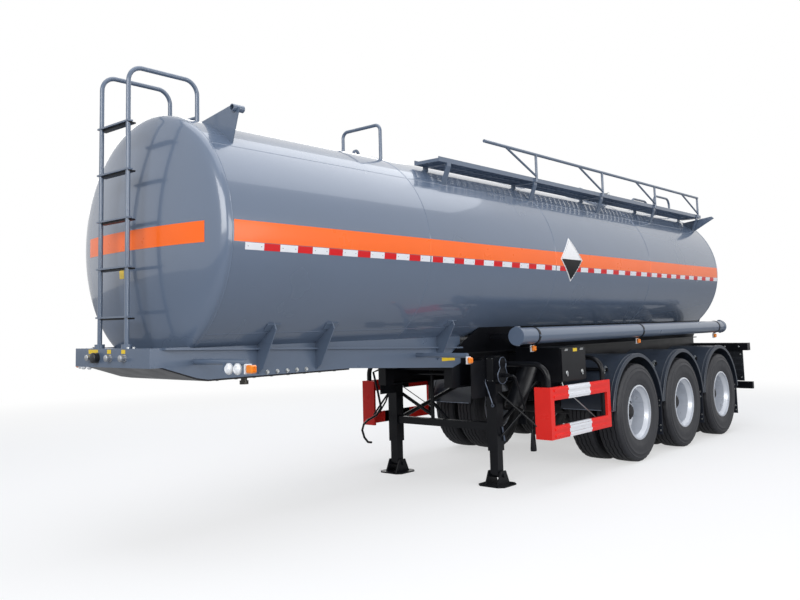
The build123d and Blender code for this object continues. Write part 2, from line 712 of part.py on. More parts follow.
vent = fused([
    rod((VENT_X, 0, top_z - 4), (VENT_X, 0, vent_flange), VENT_R),
    rod((VENT_X, 0, vent_flange), (VENT_X, 0, vent_cap), VENT_FLANGE_R),
    rod((VENT_X, 0, vent_cap), (VENT_X, 0, vent_cap + VENT_CAP_H), VENT_CAP_R),
]) - tank
save(Compound(children=[hoop, eye, vent]), "tank_top_fittings")

# Walkway deck, its brackets and the handrail
bracket_xs = [BRACKET_FRONT - BRACKET_PITCH * i for i in range(BRACKET_COUNT)]
deck_in = DECK_OUT - DECK_W
deck_parts = [
    block(DECK_REAR, DECK_FRONT, DECK_OUT - DECK_BAR, DECK_OUT, DECK_Z - DECK_T, DECK_Z + DECK_T / 2),
    block(DECK_REAR, DECK_FRONT, deck_in, deck_in + DECK_BAR, DECK_Z - DECK_T, DECK_Z + DECK_T / 2),
    block(DECK_REAR, DECK_REAR + DECK_BAR, deck_in, DECK_OUT, DECK_Z - DECK_T, DECK_Z),
    block(DECK_FRONT - DECK_BAR, DECK_FRONT, deck_in, DECK_OUT, DECK_Z - DECK_T, DECK_Z),
    block(DECK_REAR, DECK_FRONT, (deck_in + DECK_OUT) / 2 - DECK_BAR, (deck_in + DECK_OUT) / 2 + DECK_BAR,
          DECK_Z - DECK_T, DECK_Z - 2),
]
bar_count = int((DECK_FRONT - DECK_REAR) / DECK_BAR_PITCH)
for i in range(1, bar_count + 1):
    bar_x = DECK_REAR + i * (DECK_FRONT - DECK_REAR) / (bar_count + 1)
    deck_parts.append(block(bar_x - DECK_BAR / 2, bar_x + DECK_BAR / 2, deck_in, DECK_OUT, DECK_Z - DECK_T, DECK_Z))
save(fused(deck_parts), "walkway_deck")

brackets = []
foot_y, foot_z = on_tank(BRACKET_ANGLE, TANK_R - 3)
base_z = DECK_Z - DECK_T
inner_leg = deck_in + BRACKET_EDGE
outer_leg = DECK_OUT - BRACKET_EDGE
for bracket_x in bracket_xs:
    rear_x = bracket_x - BRACKET_LEG_W / 2
    front_x = bracket_x + BRACKET_LEG_W / 2
    vee = plate_yz(
        [(deck_in, base_z), (DECK_OUT, base_z), (DECK_OUT, base_z - 30), (foot_y + 14, foot_z - 12),
         (foot_y - 14, foot_z + 14), (deck_in, base_z - 60)],
        rear_x, front_x)
    vee -= plate_yz(
        [(inner_leg, base_z - BRACKET_LEG_T), (outer_leg, base_z - BRACKET_LEG_T), (outer_leg, base_z - 34),
         (foot_y + 8, foot_z + 12), (foot_y - 2, foot_z + 26), (inner_leg, base_z - 70)],
        rear_x, front_x)
    vee -= tank
    brackets += vee.solids()
save(Compound(children=brackets), "walkway_brackets")

rail_y = DECK_OUT + POST_R
posts = bracket_xs[1:]
rail_low = DECK_Z - DECK_T
hand_parts = [rod((posts[-1] - RAIL_TUBE_R, rail_y, HANDRAIL_Z), (posts[0] + HANDRAIL_OVERHANG, rail_y, HANDRAIL_Z),
                  RAIL_TUBE_R)]
for post_x in posts:
    hand_parts.append(rod((post_x, rail_y, rail_low), (post_x, rail_y, HANDRAIL_Z), POST_R))
    hand_parts.append(block(post_x - POST_FOOT / 2, post_x + POST_FOOT / 2, DECK_OUT, rail_y,
                            rail_low, DECK_Z))
    hand_parts.append(rod((post_x, rail_y, rail_low + 60), (post_x + BRACE_REACH, rail_y, HANDRAIL_Z), BRACE_R))
save(fused(hand_parts), "walkway_handrail")

# Manhole neck and the hinged lid
neck = rod((MANHOLE_X, 0, top_z - 60), (MANHOLE_X, 0, NECK_TOP), NECK_R)
neck += rod((MANHOLE_X, 0, NECK_TOP - NECK_FLANGE_T), (MANHOLE_X, 0, NECK_TOP), NECK_FLANGE_R)
neck -= rod((MANHOLE_X, 0, top_z - 10), (MANHOLE_X, 0, NECK_TOP), NECK_R - NECK_WALL)
neck -= tank
hinge_x = MANHOLE_X - HINGE_REACH
hinge_z = NECK_TOP + LID_GAP + LID_T / 2
knuckles = ((-90.0, -50.0, "neck"), (-49.6, -15.0, "lid"), (-14.6, 14.6, "neck"), (15.0, 49.6, "lid"),
            (50.0, 90.0, "neck"))
lid_hinge = []
for y0, y1, owner in knuckles:
    barrel = rod((hinge_x, y0, hinge_z), (hinge_x, y1, hinge_z), HINGE_R)
    if owner == "neck":
        arm = block(hinge_x - 10, MANHOLE_X - NECK_FLANGE_R + 30, y0, y1, NECK_TOP - NECK_FLANGE_T, NECK_TOP - 6)
        cheek = block(hinge_x - 10, hinge_x + 10, y0, y1, NECK_TOP - NECK_FLANGE_T, hinge_z)
        neck += barrel + (arm + cheek)
    else:
        arm = block(hinge_x, MANHOLE_X - NECK_FLANGE_R + 60, y0, y1, hinge_z - 6, hinge_z + 8)
        lid_hinge.append(barrel + arm)
pin_clear = rod((hinge_x, -91, hinge_z), (hinge_x, 91, hinge_z), 6 + HINGE_GAP)
hinge_pin = rod((hinge_x, -90, hinge_z), (hinge_x, 90, hinge_z), 6)
neck = (neck - pin_clear) + hinge_pin
lugs = []
for i in range(CLAMP_COUNT):
    turn = Rot(0, 0, 30 + i * 360 / CLAMP_COUNT)
    lug = Pos(MANHOLE_X, 0, 0) * turn * block(NECK_R - 2, NECK_FLANGE_R + 20, -16, 16, NECK_TOP - 70, NECK_TOP - 30)
    lugs.append(lug)
neck = neck.fuse(*lugs)
save(max(neck.solids(), key=lambda s: s.volume), "manhole_neck")

lid_z = NECK_TOP + LID_GAP
dome_r = (NECK_R ** 2 + LID_DOME ** 2) / (2 * LID_DOME)
lid = rod((MANHOLE_X, 0, lid_z), (MANHOLE_X, 0, lid_z + LID_T), NECK_FLANGE_R)
ball = Pos(MANHOLE_X, 0, lid_z + LID_T + LID_DOME - dome_r) * Sphere(dome_r)
lid += ball & rod((MANHOLE_X, 0, lid_z + LID_T - 1), (MANHOLE_X, 0, lid_z + LID_T + LID_DOME + 1), NECK_R)
lid += fused(lid_hinge)
lid -= pin_clear
handle_x = MANHOLE_X + NECK_R - 30
lid += pipe([(handle_x, -90, lid_z + LID_T - 2), (handle_x, -90, lid_z + 100), (handle_x, 90, lid_z + 100),
             (handle_x, 90, lid_z + LID_T - 2)], 9, 36)
save(max(lid.solids(), key=lambda s: s.volume), "manhole_lid")

# Landing legs with square tubes, flared feet and upper plates
half_outer = LEG_OUTER / 2
half_inner = LEG_INNER / 2
leg_out = LEG_Y + half_outer
leg_in = LEG_Y - half_outer
cheek_out = CHEEK_IN + CHEEK_T
leg = block(LEG_X - half_outer, LEG_X + half_outer, leg_in, leg_out, LEG_SPLIT, LEG_TOP)
leg += block(LEG_X - half_inner, LEG_X + half_inner, LEG_Y - half_inner, LEG_Y + half_inner, LEG_BOTTOM,
             LEG_SPLIT + LEG_BAND)
leg += rod((LEG_X, LEG_Y - cheek_out, FOOT_PIN_Z), (LEG_X, LEG_Y + cheek_out, FOOT_PIN_Z), FOOT_PIN_R)
cheek_points = [(LEG_X - CHEEK_FOOT, FOOT_T), (LEG_X + CHEEK_FOOT, FOOT_T), (LEG_X + CHEEK_HEAD, CHEEK_TOP),
                (LEG_X - CHEEK_HEAD, CHEEK_TOP)]
leg += plate_xz(cheek_points, LEG_Y - cheek_out, LEG_Y - CHEEK_IN)
leg += plate_xz(cheek_points, LEG_Y + CHEEK_IN, LEG_Y + cheek_out)
base = Box(FOOT_SIZE, FOOT_SIZE, FOOT_T)
base = chamfer(base.edges().filter_by(Axis.Z), FOOT_CORNER)
leg += Pos(LEG_X, LEG_Y, FOOT_T / 2) * base
leg += block(LEG_X + half_outer, LEG_X + half_outer + WING_L, leg_in, leg_in + WING_T, WING_BOTTOM,
             LEG_TOP - WING_DROP)
leg += block(LEG_X - half_outer - BRACKET_AFT, LEG_X + half_outer + BRACKET_FORE, FRAME_HALF, leg_in,
             BRACKET_BOTTOM, LEG_TOP - BRACKET_DROP)
leg += block(LEG_X - 16, LEG_X + 16, leg_out, leg_out + CLIP_REACH, CLIP_Z - CLIP_HALF, CLIP_Z + CLIP_HALF)
leg -= rod((LEG_X, 0, GEARBOX_LOWER_Z), (LEG_X, leg_in, GEARBOX_LOWER_Z), SHAFT_R + SHAFT_GAP)
save(leg, "landing_leg_left")
save(mirrored(leg), "landing_leg_right")

# a box tube joins the legs, a post rises from it to the cross member, and knees spread both ways
cross_low = RAIL_BOTTOM + CROSS_TOP - CROSS_DEPTH * CROSS_RATIO
post_x = LEG_X - BRACE_TUBE_HALF - KNEE_R / 2
knee_r = KNEE_R - 2
cross = block(LEG_X - BRACE_TUBE_HALF, LEG_X + BRACE_TUBE_HALF, -leg_in, leg_in, BRACE_Z - BRACE_TUBE_HALF,
              BRACE_Z + BRACE_TUBE_HALF)
cross += rod((post_x, POST_Y, BRACE_Z), (post_x, POST_Y, cross_low), KNEE_R)
cross += rod((post_x, POST_Y, BRACE_Z + 60), (post_x, -LEG_Y, KNEE_Z), knee_r)
cross += rod((post_x, POST_Y, BRACE_Z + 200), (post_x, POST_Y + KNEE_SPREAD, BRACE_Z), knee_r)
cross = max((cross - mirrored(leg) - leg).solids(), key=lambda piece: piece.volume)
shaft = rod((LEG_X, -leg_in, GEARBOX_LOWER_Z), (LEG_X, leg_in, GEARBOX_LOWER_Z), SHAFT_R)
back_brace = rod((LEG_X - half_outer + WEB_T, LEG_Y, BRACE_Z), (BACK_BRACE_X, rail_mid, RAIL_BOTTOM), BACK_BRACE_R)
back_brace = max((back_brace - leg - block(0, LEG_X, 0, FRAME_HALF, RAIL_BOTTOM, RAIL_TOP)).solids(),
                 key=lambda piece: piece.volume)
back_braces = [back_brace, mirrored(back_brace)]
save(Compound(children=[cross, shaft, *back_braces]), "landing_braces")

gear_out = leg_out + GEARBOX_T
upper_x = LEG_X - GEARBOX_LEAN
gear_upper = rod((upper_x, leg_out, GEARBOX_UPPER_Z), (upper_x, gear_out, GEARBOX_UPPER_Z), GEARBOX_UPPER_R)
gear_lower = rod((LEG_X, leg_out, GEARBOX_LOWER_Z), (LEG_X, gear_out, GEARBOX_LOWER_Z), GEARBOX_LOWER_R)
bridge = block(LEG_X - GEARBOX_WAIST, LEG_X + GEARBOX_WAIST, leg_out, gear_out, GEARBOX_LOWER_Z, GEARBOX_UPPER_Z)
crank_y = gear_out + STUB_SHAFT_L
gearbox = fused([gear_upper, gear_lower, bridge])
gearbox += rod((LEG_X, gear_out, GEARBOX_LOWER_Z), (LEG_X, crank_y, GEARBOX_LOWER_Z), STUB_SHAFT_R)
save(gearbox, "landing_gearbox")

crank = pipe([(LEG_X, crank_y, GEARBOX_LOWER_Z), (LEG_X, crank_y + CRANK_GRIP, GEARBOX_LOWER_Z),
              (LEG_X - CRANK_BACK, crank_y + CRANK_GRIP + 10, GEARBOX_LOWER_Z - CRANK_THROW),
              (LEG_X, leg_out + CLIP_REACH + CRANK_R, CLIP_Z)], CRANK_R, CRANK_BEND)
save(crank, "landing_crank")

# Side guards: a ribbed frame with a return at its front end, and the arms that carry it
guard_back = GUARD_Y - GUARD_BAR_T / 2
guard_face = GUARD_Y + GUARD_BAR_T / 2
top_bar = GUARD_TOP - GUARD_BAR
low_bar = GUARD_BOTTOM + GUARD_BAR
guard = fused([
    block(GUARD_REAR, GUARD_FRONT, guard_back, guard_face, top_bar, GUARD_TOP),
    block(GUARD_REAR, GUARD_FRONT, guard_back, guard_face, GUARD_BOTTOM, low_bar),
    block(GUARD_REAR, GUARD_REAR + GUARD_POST, guard_back, guard_face, GUARD_BOTTOM, GUARD_TOP),
    block(GUARD_FRONT - GUARD_POST, GUARD_FRONT, guard_back, guard_face, GUARD_BOTTOM, GUARD_TOP),
    block(GUARD_FRONT - GUARD_BAR_T, GUARD_FRONT, GUARD_Y - GUARD_RETURN, GUARD_Y, GUARD_BOTTOM, GUARD_TOP),
])
for bar_low in (top_bar, GUARD_BOTTOM):
    for share in (0.25, 0.75):
        level = bar_low + GUARD_BAR * share
        guard += block(GUARD_REAR + GUARD_POST, GUARD_FRONT - GUARD_POST, guard_face, guard_face + GUARD_RIB,
                       level - GUARD_RIB_HALF, level + GUARD_RIB_HALF)
save(guard, "side_guard_left")
save(mirrored(guard), "side_guard_right")

ARM_TUBE = 26.0
ARM_BEND = 150.0
ARM_INSET = 60.0
ARM_PAD = 20.0
ARM_LEVELS = (1165.0, 1180.0)
arm_parts = []
arm_y = guard_back - ARM_TUBE
for arm_x, arm_z in zip((GUARD_FRONT - ARM_INSET, GUARD_REAR + ARM_INSET), ARM_LEVELS):
    arm = pipe([(arm_x, web_out, arm_z), (arm_x, arm_y, arm_z), (arm_x, arm_y, GUARD_BOTTOM + 30)],
               ARM_TUBE, ARM_BEND)
    pads = [block(arm_x - ARM_PAD, arm_x + ARM_PAD, arm_y, guard_back, z - ARM_PAD, z + ARM_PAD)
            for z in (GUARD_TOP - GUARD_BAR / 2, GUARD_BOTTOM + GUARD_BAR / 2)]
    arm_parts.append(arm.fuse(*pads))
guard_stay = rod((LEG_X, LEG_Y + half_inner, STAY_TOP),
                 (GUARD_FRONT - GUARD_BAR_T / 2, GUARD_Y - GUARD_RETURN + 30, STAY_LOW), STAY_R)
guard_stay = max((guard_stay - leg - guard).solids(), key=lambda piece: piece.volume)
arm_parts.append(guard_stay)
arm_parts += [mirrored(s) for s in arm_parts]
save(Compound(children=arm_parts), "side_guard_arms")

# Toolbox behind the left guard, and the half tube trough ahead of it
toolbox = block(BOX_REAR, BOX_FRONT, BOX_IN, BOX_OUT, BOX_BOTTOM, BOX_TOP)
toolbox += block(BOX_REAR + BOX_DOOR_RIM, BOX_FRONT - BOX_DOOR_RIM, BOX_OUT, BOX_OUT + BOX_DOOR_T,
                 BOX_BOTTOM + BOX_DOOR_RIM, BOX_TOP - BOX_DOOR_RIM)
for bracket_x in (BOX_REAR + BOX_BRACKET_RIM, BOX_FRONT - BOX_BRACKET_RIM - BOX_BRACKET_W):
    toolbox += block(bracket_x, bracket_x + BOX_BRACKET_W, web_out, BOX_IN, BOX_BOTTOM + BOX_BRACKET_RIM,
                     BOX_TOP - BOX_BRACKET_RIM)
save(toolbox, "toolbox")

TROUGH_R = 105.0
TROUGH_T = 6.0
TROUGH_L = 460.0
TROUGH_OUTSET = 134.0
trough_start = (1560.0, LEG_Y + TROUGH_OUTSET, 1105.0)
trough_plane = Plane(origin=trough_start, x_dir=(0, 1, 0), z_dir=(0.55, -0.05, -0.84))
half_ring = Circle(TROUGH_R) - Circle(TROUGH_R - TROUGH_T)
half_ring -= Pos(0, -TROUGH_R) * Rectangle(2 * TROUGH_R + 2, 2 * TROUGH_R)
trough = extrude(trough_plane * half_ring, amount=TROUGH_L)
trough += block(trough_start[0] + 40, trough_start[0] + 80, web_out, trough_start[1] - TROUGH_R + 4,
                trough_start[2] - 105, trough_start[2] - 75)
save(trough, "chock_trough")

# Mudguards, their tubes and flaps
mudguards = []
tubes = []
flaps = []
end_rise = MUDGUARD_END_Z - TYRE_R
for station in AXLE_STATIONS:
    arc = ThreePointArc((station + math.sqrt(MUDGUARD_R ** 2 - end_rise ** 2), 0, MUDGUARD_END_Z),
                        (station, 0, TYRE_R + MUDGUARD_R),
                        (station - math.sqrt(MUDGUARD_R ** 2 - end_rise ** 2), 0, MUDGUARD_END_Z))
    inner_r = MUDGUARD_R - MUDGUARD_T
    inner_x = math.sqrt(inner_r ** 2 - end_rise ** 2)
    inner = ThreePointArc((station - inner_x, 0, MUDGUARD_END_Z), (station, 0, TYRE_R + inner_r),
                          (station + inner_x, 0, MUDGUARD_END_Z))
    face = make_face(Curve() + [arc, Line(arc @ 1, inner @ 0), inner, Line(inner @ 1, arc @ 0)])
    sheet = Pos(0, MUDGUARD_INNER_Y, 0) * extrude(face, amount=MUDGUARD_OUTER_Y - MUDGUARD_INNER_Y, dir=(0, 1, 0))
    lip_r = inner_r - MUDGUARD_LIP
    lip_x = math.sqrt(lip_r ** 2 - end_rise ** 2)
    lip = ThreePointArc((station - lip_x, 0, MUDGUARD_END_Z), (station, 0, TYRE_R + lip_r),
                        (station + lip_x, 0, MUDGUARD_END_Z))
    lip_face = make_face(Curve() + [arc, Line(arc @ 1, lip @ 0), lip, Line(lip @ 1, arc @ 0)])
    sheet += Pos(0, MUDGUARD_OUTER_Y - MUDGUARD_T, 0) * extrude(lip_face, amount=MUDGUARD_T, dir=(0, 1, 0))
    mudguards.append(sheet)
    for sign in (1, -1):
        turn = math.radians(BRACKET_TUBE_ANGLE)
        reach = MUDGUARD_R + BRACKET_TUBE_R
        tube_x = station + sign * reach * math.cos(turn)
        tube_z = TYRE_R + reach * math.sin(turn)
        tubes.append(rod((tube_x, web_out, tube_z), (tube_x, MUDGUARD_OUTER_Y - BRACKET_TUBE_END, tube_z),
                         BRACKET_TUBE_R))
    flap_x = station - inner_x + 2
    flaps.append(block(flap_x, flap_x + FLAP_T, MUDGUARD_INNER_Y + FLAP_SIDE, MUDGUARD_OUTER_Y - FLAP_SIDE,
                       FLAP_BOTTOM, MUDGUARD_END_Z + FLAP_LAP))
mudguards = [s - f for s, f in zip(mudguards, flaps)]
save(Compound(children=mudguards), "mudguards_left")
save(Compound(children=[mirrored(s) for s in mudguards]), "mudguards_right")
tubes += [mirrored(s) for s in tubes]
save(Compound(children=tubes), "mudguard_tubes")
flaps += [mirrored(s) for s in flaps]
save(Compound(children=flaps), "mud_flaps")

# Axles with spring seats, leaf springs, hangers and brake chambers
outer_mid = HALF_WIDTH - TYRE_W / 2
inner_mid = outer_mid - TYRE_W - DUAL_GAP
dual_mid = (outer_mid + inner_mid) / 2
spindle_end = dual_mid + HUB_LENGTH - SPINDLE_SHORT
drum_in = dual_mid - DRUM_LENGTH
seat_z = TYRE_R + AXLE_TUBE_R + SEAT_H
eye_z = seat_z + SPRING_CAMBER + SPRING_LEAF_T * SPRING_LEAVES
axles = []
springs = []
hangers = []
chambers = []


def leaf_spring(station, middle_y):
    # leaves of growing length, each an arc as thick as the next and all of one camber
    leaves = []
    for i in range(SPRING_LEAVES):
        half = SPRING_HALF * (1 - LEAF_STEP * (SPRING_LEAVES - 1 - i))
        rise = SPRING_CAMBER * (half / SPRING_HALF) ** 2
        low = seat_z + i * SPRING_LEAF_T
        high = low + SPRING_LEAF_T
        rear_x = station - half
        front_x = station + half
        lower = ThreePointArc((rear_x, 0, low + rise), (station, 0, low), (front_x, 0, low + rise))
        upper = ThreePointArc((front_x, 0, high + rise), (station, 0, high), (rear_x, 0, high + rise))
        face = make_face(Curve() + [lower, Line(lower @ 1, upper @ 0), upper, Line(upper @ 1, lower @ 0)])
        leaves.append(Pos(0, middle_y - SPRING_W / 2, 0) * extrude(face, amount=SPRING_W, dir=(0, 1, 0)))
    return fused(leaves)


for station in AXLE_STATIONS:
    tube = rod((station, -drum_in + AXLE_END_GAP, TYRE_R), (station, drum_in - AXLE_END_GAP, TYRE_R), AXLE_TUBE_R)
    beam = tube + rod((station, -spindle_end, TYRE_R), (station, spindle_end, TYRE_R), SPINDLE_R)
    for side, name in SIDES:
        beam += block(station - SEAT_HALF_X, station + SEAT_HALF_X, side * (SPRING_Y - SEAT_HALF_Y),
                      side * (SPRING_Y + SEAT_HALF_Y), TYRE_R, seat_z)
        springs.append(leaf_spring(station, side * SPRING_Y))
        chamber_x = station + CHAMBER_X
        chamber_y = side * (SPRING_Y - CHAMBER_INSET)
        chamber_z = TYRE_R + CHAMBER_RISE
        chamber = rod((chamber_x, chamber_y, chamber_z),
                      (chamber_x - CHAMBER_TILT, chamber_y + side * CHAMBER_L, chamber_z + CHAMBER_TILT), CHAMBER_R)
        bracket = block(station, chamber_x, chamber_y - CHAMBER_ARM_T / 2, chamber_y + CHAMBER_ARM_T / 2,
                        chamber_z - CHAMBER_R / 2, chamber_z + CHAMBER_TILT)
        chambers.append(max(((chamber + bracket) - tube).solids(), key=lambda piece: piece.volume))
    axles.append(beam)
hanger_stations = [AXLE_PITCH / 2 - HANGER_LEAD] + [station - AXLE_PITCH / 2 for station in AXLE_STATIONS]
pin_z = eye_z - HANGER_PIN_DROP
for hanger_x in hanger_stations:
    hanger = plate_xz(
        [(hanger_x - HANGER_L, RAIL_BOTTOM), (hanger_x + HANGER_L, RAIL_BOTTOM),
         (hanger_x + HANGER_FOOT, eye_z - HANGER_DROP), (hanger_x - HANGER_FOOT, eye_z - HANGER_DROP)],
        SPRING_Y - HANGER_W / 2, SPRING_Y + HANGER_W / 2)
    hanger -= block(hanger_x - HANGER_L, hanger_x + HANGER_L, SPRING_Y - SPRING_W / 2 - HANGER_SLOT,
                    SPRING_Y + SPRING_W / 2 + HANGER_SLOT, 0, eye_z + SEAT_GAP)
    hanger += rod((hanger_x, SPRING_Y - HANGER_W / 2, pin_z), (hanger_x, SPRING_Y + HANGER_W / 2, pin_z),
                  HANGER_PIN_R)
    hangers += [hanger, mirrored(hanger)]
save(Compound(children=axles), "axles")
save(Compound(children=springs), "leaf_springs")
save(Compound(children=hangers), "spring_hangers")
save(Compound(children=chambers), "brake_chambers")

# Air tanks between the rails
AIR_R = 120.0
AIR_RAIL_GAP = 177.0
AIR_L = 2 * (FRAME_HALF - AIR_RAIL_GAP)
AIR_Z = 1050.0
AIR_STATIONS = (1150.0, -3000.0)
AIR_STRAP_Y = 180.0
AIR_STRAP_W = 40.0
AIR_STRAP_T = 5.0
AIR_BAR = 60.0
AIR_BAR_H = 30.0
airs = []
for air_x in AIR_STATIONS:
    air = rod((air_x, -AIR_L / 2, AIR_Z), (air_x, AIR_L / 2, AIR_Z), AIR_R)
    for y in (-AIR_STRAP_Y, AIR_STRAP_Y):
        air += rod((air_x, y - AIR_STRAP_W / 2, AIR_Z), (air_x, y + AIR_STRAP_W / 2, AIR_Z), AIR_R + AIR_STRAP_T)
    bar_half = rail_mid - RAIL_WEB_T / 2
    air += block(air_x - AIR_BAR / 2, air_x + AIR_BAR / 2, -bar_half, bar_half, AIR_Z + AIR_R - 10,
                 AIR_Z + AIR_R + AIR_BAR_H)
    airs.append(air)
save(Compound(children=airs), "air_tanks")

# Rear beam, bumper, ribbed panels, lamps and the outlet
rear_parts = [
    block(REAR_X, RAIL_REAR, -REAR_BEAM_HALF, REAR_BEAM_HALF, REAR_BEAM_BOTTOM, REAR_BEAM_TOP),
    block(REAR_X, REAR_X + BUMPER_DEPTH, -BUMPER_HALF, BUMPER_HALF, BUMPER_BOTTOM, BUMPER_TOP),
]
for side, name in SIDES:
    rear_parts.append(block(REAR_X, REAR_X + BUMPER_DEPTH, side * POST_IN, side * POST_OUT, BUMPER_TOP,
                            REAR_BEAM_BOTTOM))
save(fused(rear_parts), "rear_beam")

panels = []
tail = []
panel_x = REAR_X + LAMP_DEPTH
rib_x = panel_x + PANEL_T
for side, name in SIDES:
    panel = block(panel_x, rib_x, side * PANEL_IN, side * PANEL_OUT, PANEL_BOTTOM, REAR_BEAM_BOTTOM)
    for i in range(PANEL_RIBS):
        rib_z = PANEL_BOTTOM + PANEL_RIB_START + i * PANEL_RIB_PITCH
        panel += block(rib_x, rib_x + PANEL_RIB_T, side * (PANEL_IN + PANEL_RIM), side * (PANEL_OUT - PANEL_RIM),
                       rib_z, rib_z + PANEL_RIB_H)
    panels.append(panel)
    for y in TAIL_LAMP_Y:
        tail.append(rod((REAR_X, side * y, TAIL_LAMP_Z), (panel_x, side * y, TAIL_LAMP_Z), TAIL_LAMP_R))
save(Compound(children=panels), "rear_panels")
save(Compound(children=tail), "tail_lamps")

OUTLET_Z = 1440.0
OUTLET_PIPE_R = 60.0
OUTLET_BODY_R = 65.0
OUTLET_FLANGE_R = 100.0
OUTLET_FLANGE_T = 20.0
OUTLET_BODY_L = 100.0
OUTLET_STEM = 140.0
flange_x = TANK_REAR - OUTLET_STEM
body_x = flange_x - OUTLET_FLANGE_T
face_x = body_x - OUTLET_BODY_L
outlet = fused([
    rod((TANK_REAR - OUTLET_STEM / 2, 0, OUTLET_Z), (flange_x, 0, OUTLET_Z), OUTLET_PIPE_R),
    rod((flange_x, 0, OUTLET_Z), (body_x, 0, OUTLET_Z), OUTLET_FLANGE_R),
    rod((body_x, 0, OUTLET_Z), (face_x, 0, OUTLET_Z), OUTLET_BODY_R),
    rod((face_x, 0, OUTLET_Z), (face_x - OUTLET_FLANGE_T, 0, OUTLET_Z), OUTLET_FLANGE_R),
])
save(outlet - tank, "outlet_valve")

# Wheels: twin tyres on two rims with hub and drum, turning as one
half_w = TYRE_W / 2


def tyre_section():
    # half of the tyre's outline from bead to crown, and its mirror image across the tyre
    toe = half_w - BEAD_INSET
    heel = half_w - HEEL_INSET
    wall_foot = (FLANGE_R + 10, half_w - WALL_INSET)
    wall_head = (SHOULDER_R, half_w - WALL_INSET)
    crown = (TYRE_R - CROWN_DROP, half_w - SHOULDER_W)
    lines = [Line((BEAD_R, -toe), (BEAD_R, toe))]
    for out in (1, -1):
        lines += [
            Line((BEAD_R, out * toe), (FLANGE_R, out * heel)),
            Line((FLANGE_R, out * heel), (wall_foot[0], out * wall_foot[1])),
            ThreePointArc((wall_foot[0], out * wall_foot[1]), (WALL_MID_R, out * half_w),
                          (wall_head[0], out * wall_head[1])),
            ThreePointArc((wall_head[0], out * wall_head[1]), (SHOULDER_MID_R, out * (half_w - SHOULDER_MID_W)),
                          (crown[0], out * crown[1])),
        ]
    lines.append(ThreePointArc(crown, (TYRE_R, 0), (crown[0], -crown[1])))
    return make_face(Curve() + lines)


def rim_section(out):
    # section of one disc wheel without its disc, radius against axis
    w = half_w
    seat_r = BEAD_R - BEAD_GAP
    points = [
        (FLANGE_R, w - 22), (FLANGE_R, w - 14), (FLANGE_R - 16, w - 12), (BEAD_R - 8, w - 34),
        (WELL_R - RIM_T, w - 74), (WELL_R - RIM_T, -w + 74), (BEAD_R - 8, -w + 34), (FLANGE_R - 16, -w + 12),
        (FLANGE_R, -w + 14), (FLANGE_R, -w + 22), (seat_r, -w + 36), (seat_r, -w + 60), (WELL_R, -w + 80),
        (WELL_R, w - 80), (seat_r, w - 60), (seat_r, w - 36),
    ]
    return make_face(Polyline(*[(r, out * y) for r, y in points], close=True))


def disc_section(side, out, middle):
    # dished disc from the rim's well to the mounting face between the two wheels
    face_y = side * (dual_mid + out * DISC_T / 2)
    lip_y = side * (middle - out * (half_w - 75))
    half_t = side * out * DISC_T / 2
    bore = HUB_R - RIM_SEAT
    return make_face(Polyline(
        (bore, face_y - half_t), (DISC_FACE_R, face_y - half_t), (WELL_R - 5, lip_y - half_t + side * out * 8),
        (WELL_R - 5, lip_y + side * out * 16), (DISC_FACE_R - 4, face_y + half_t), (bore, face_y + half_t),
        close=True))


for number, station in enumerate(AXLE_STATIONS, start=1):
    for side, name in SIDES:
        tyres = []
        rim_parts = []
        for middle, out in ((outer_mid, 1), (inner_mid, -1)):
            tyres.append(turn_about_y(tyre_section(), station, side * middle, TYRE_R))
            rim_parts.append(turn_about_y(rim_section(side * out), station, side * middle, TYRE_R))
            rim_parts.append(turn_about_y(disc_section(side, out, middle), station, 0, TYRE_R))
        hub_end = side * (dual_mid + HUB_LENGTH)
        drum_start = side * drum_in
        hub = rod((station, side * (dual_mid - HUB_INSET), TYRE_R), (station, hub_end, TYRE_R), HUB_R * HUB_NECK)
        hub += rod((station, hub_end - side * 2, TYRE_R), (station, hub_end + side * HUB_CAP_T, TYRE_R),
                   HUB_R * HUB_CAP)
        drum = rod((station, drum_start, TYRE_R), (station, side * (dual_mid - DISC_T), TYRE_R), DRUM_R)
        drum -= rod((station, drum_start, TYRE_R), (station, side * (dual_mid - DRUM_FLOOR), TYRE_R),
                    DRUM_R - DRUM_WALL)
        rims = fused(rim_parts + [hub, drum])
        rims -= rod((station, drum_start - side * DRUM_WALL, TYRE_R),
                    (station, side * (spindle_end + BEARING_GAP), TYRE_R), SPINDLE_R + BEARING_GAP)
        holes = []
        for i in range(HAND_HOLE_COUNT):
            turn = math.tau * (i + 0.5) / HAND_HOLE_COUNT
            x = station + HAND_HOLE_CIRCLE_R * math.cos(turn)
            z = TYRE_R + HAND_HOLE_CIRCLE_R * math.sin(turn)
            holes.append(rod((x, side * (inner_mid - 90), z), (x, side * (outer_mid + 90), z), HAND_HOLE_R))
        rims = rims.cut(*holes)
        tag = f"wheel_{number}_{name}"
        save(Compound(children=tyres), f"{tag}_tyres")
        save(rims, f"{tag}_rims")
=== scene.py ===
"""The looks of a three-axle tank semi-trailer: finishes, stripe, tape, treads, lamps, bolts and light."""

import logging
import math
from dataclasses import dataclass, field
from enum import Enum
from typing import Any, Iterable, Optional, Sequence

import bmesh
import bpy
from mathutils import Matrix, Vector


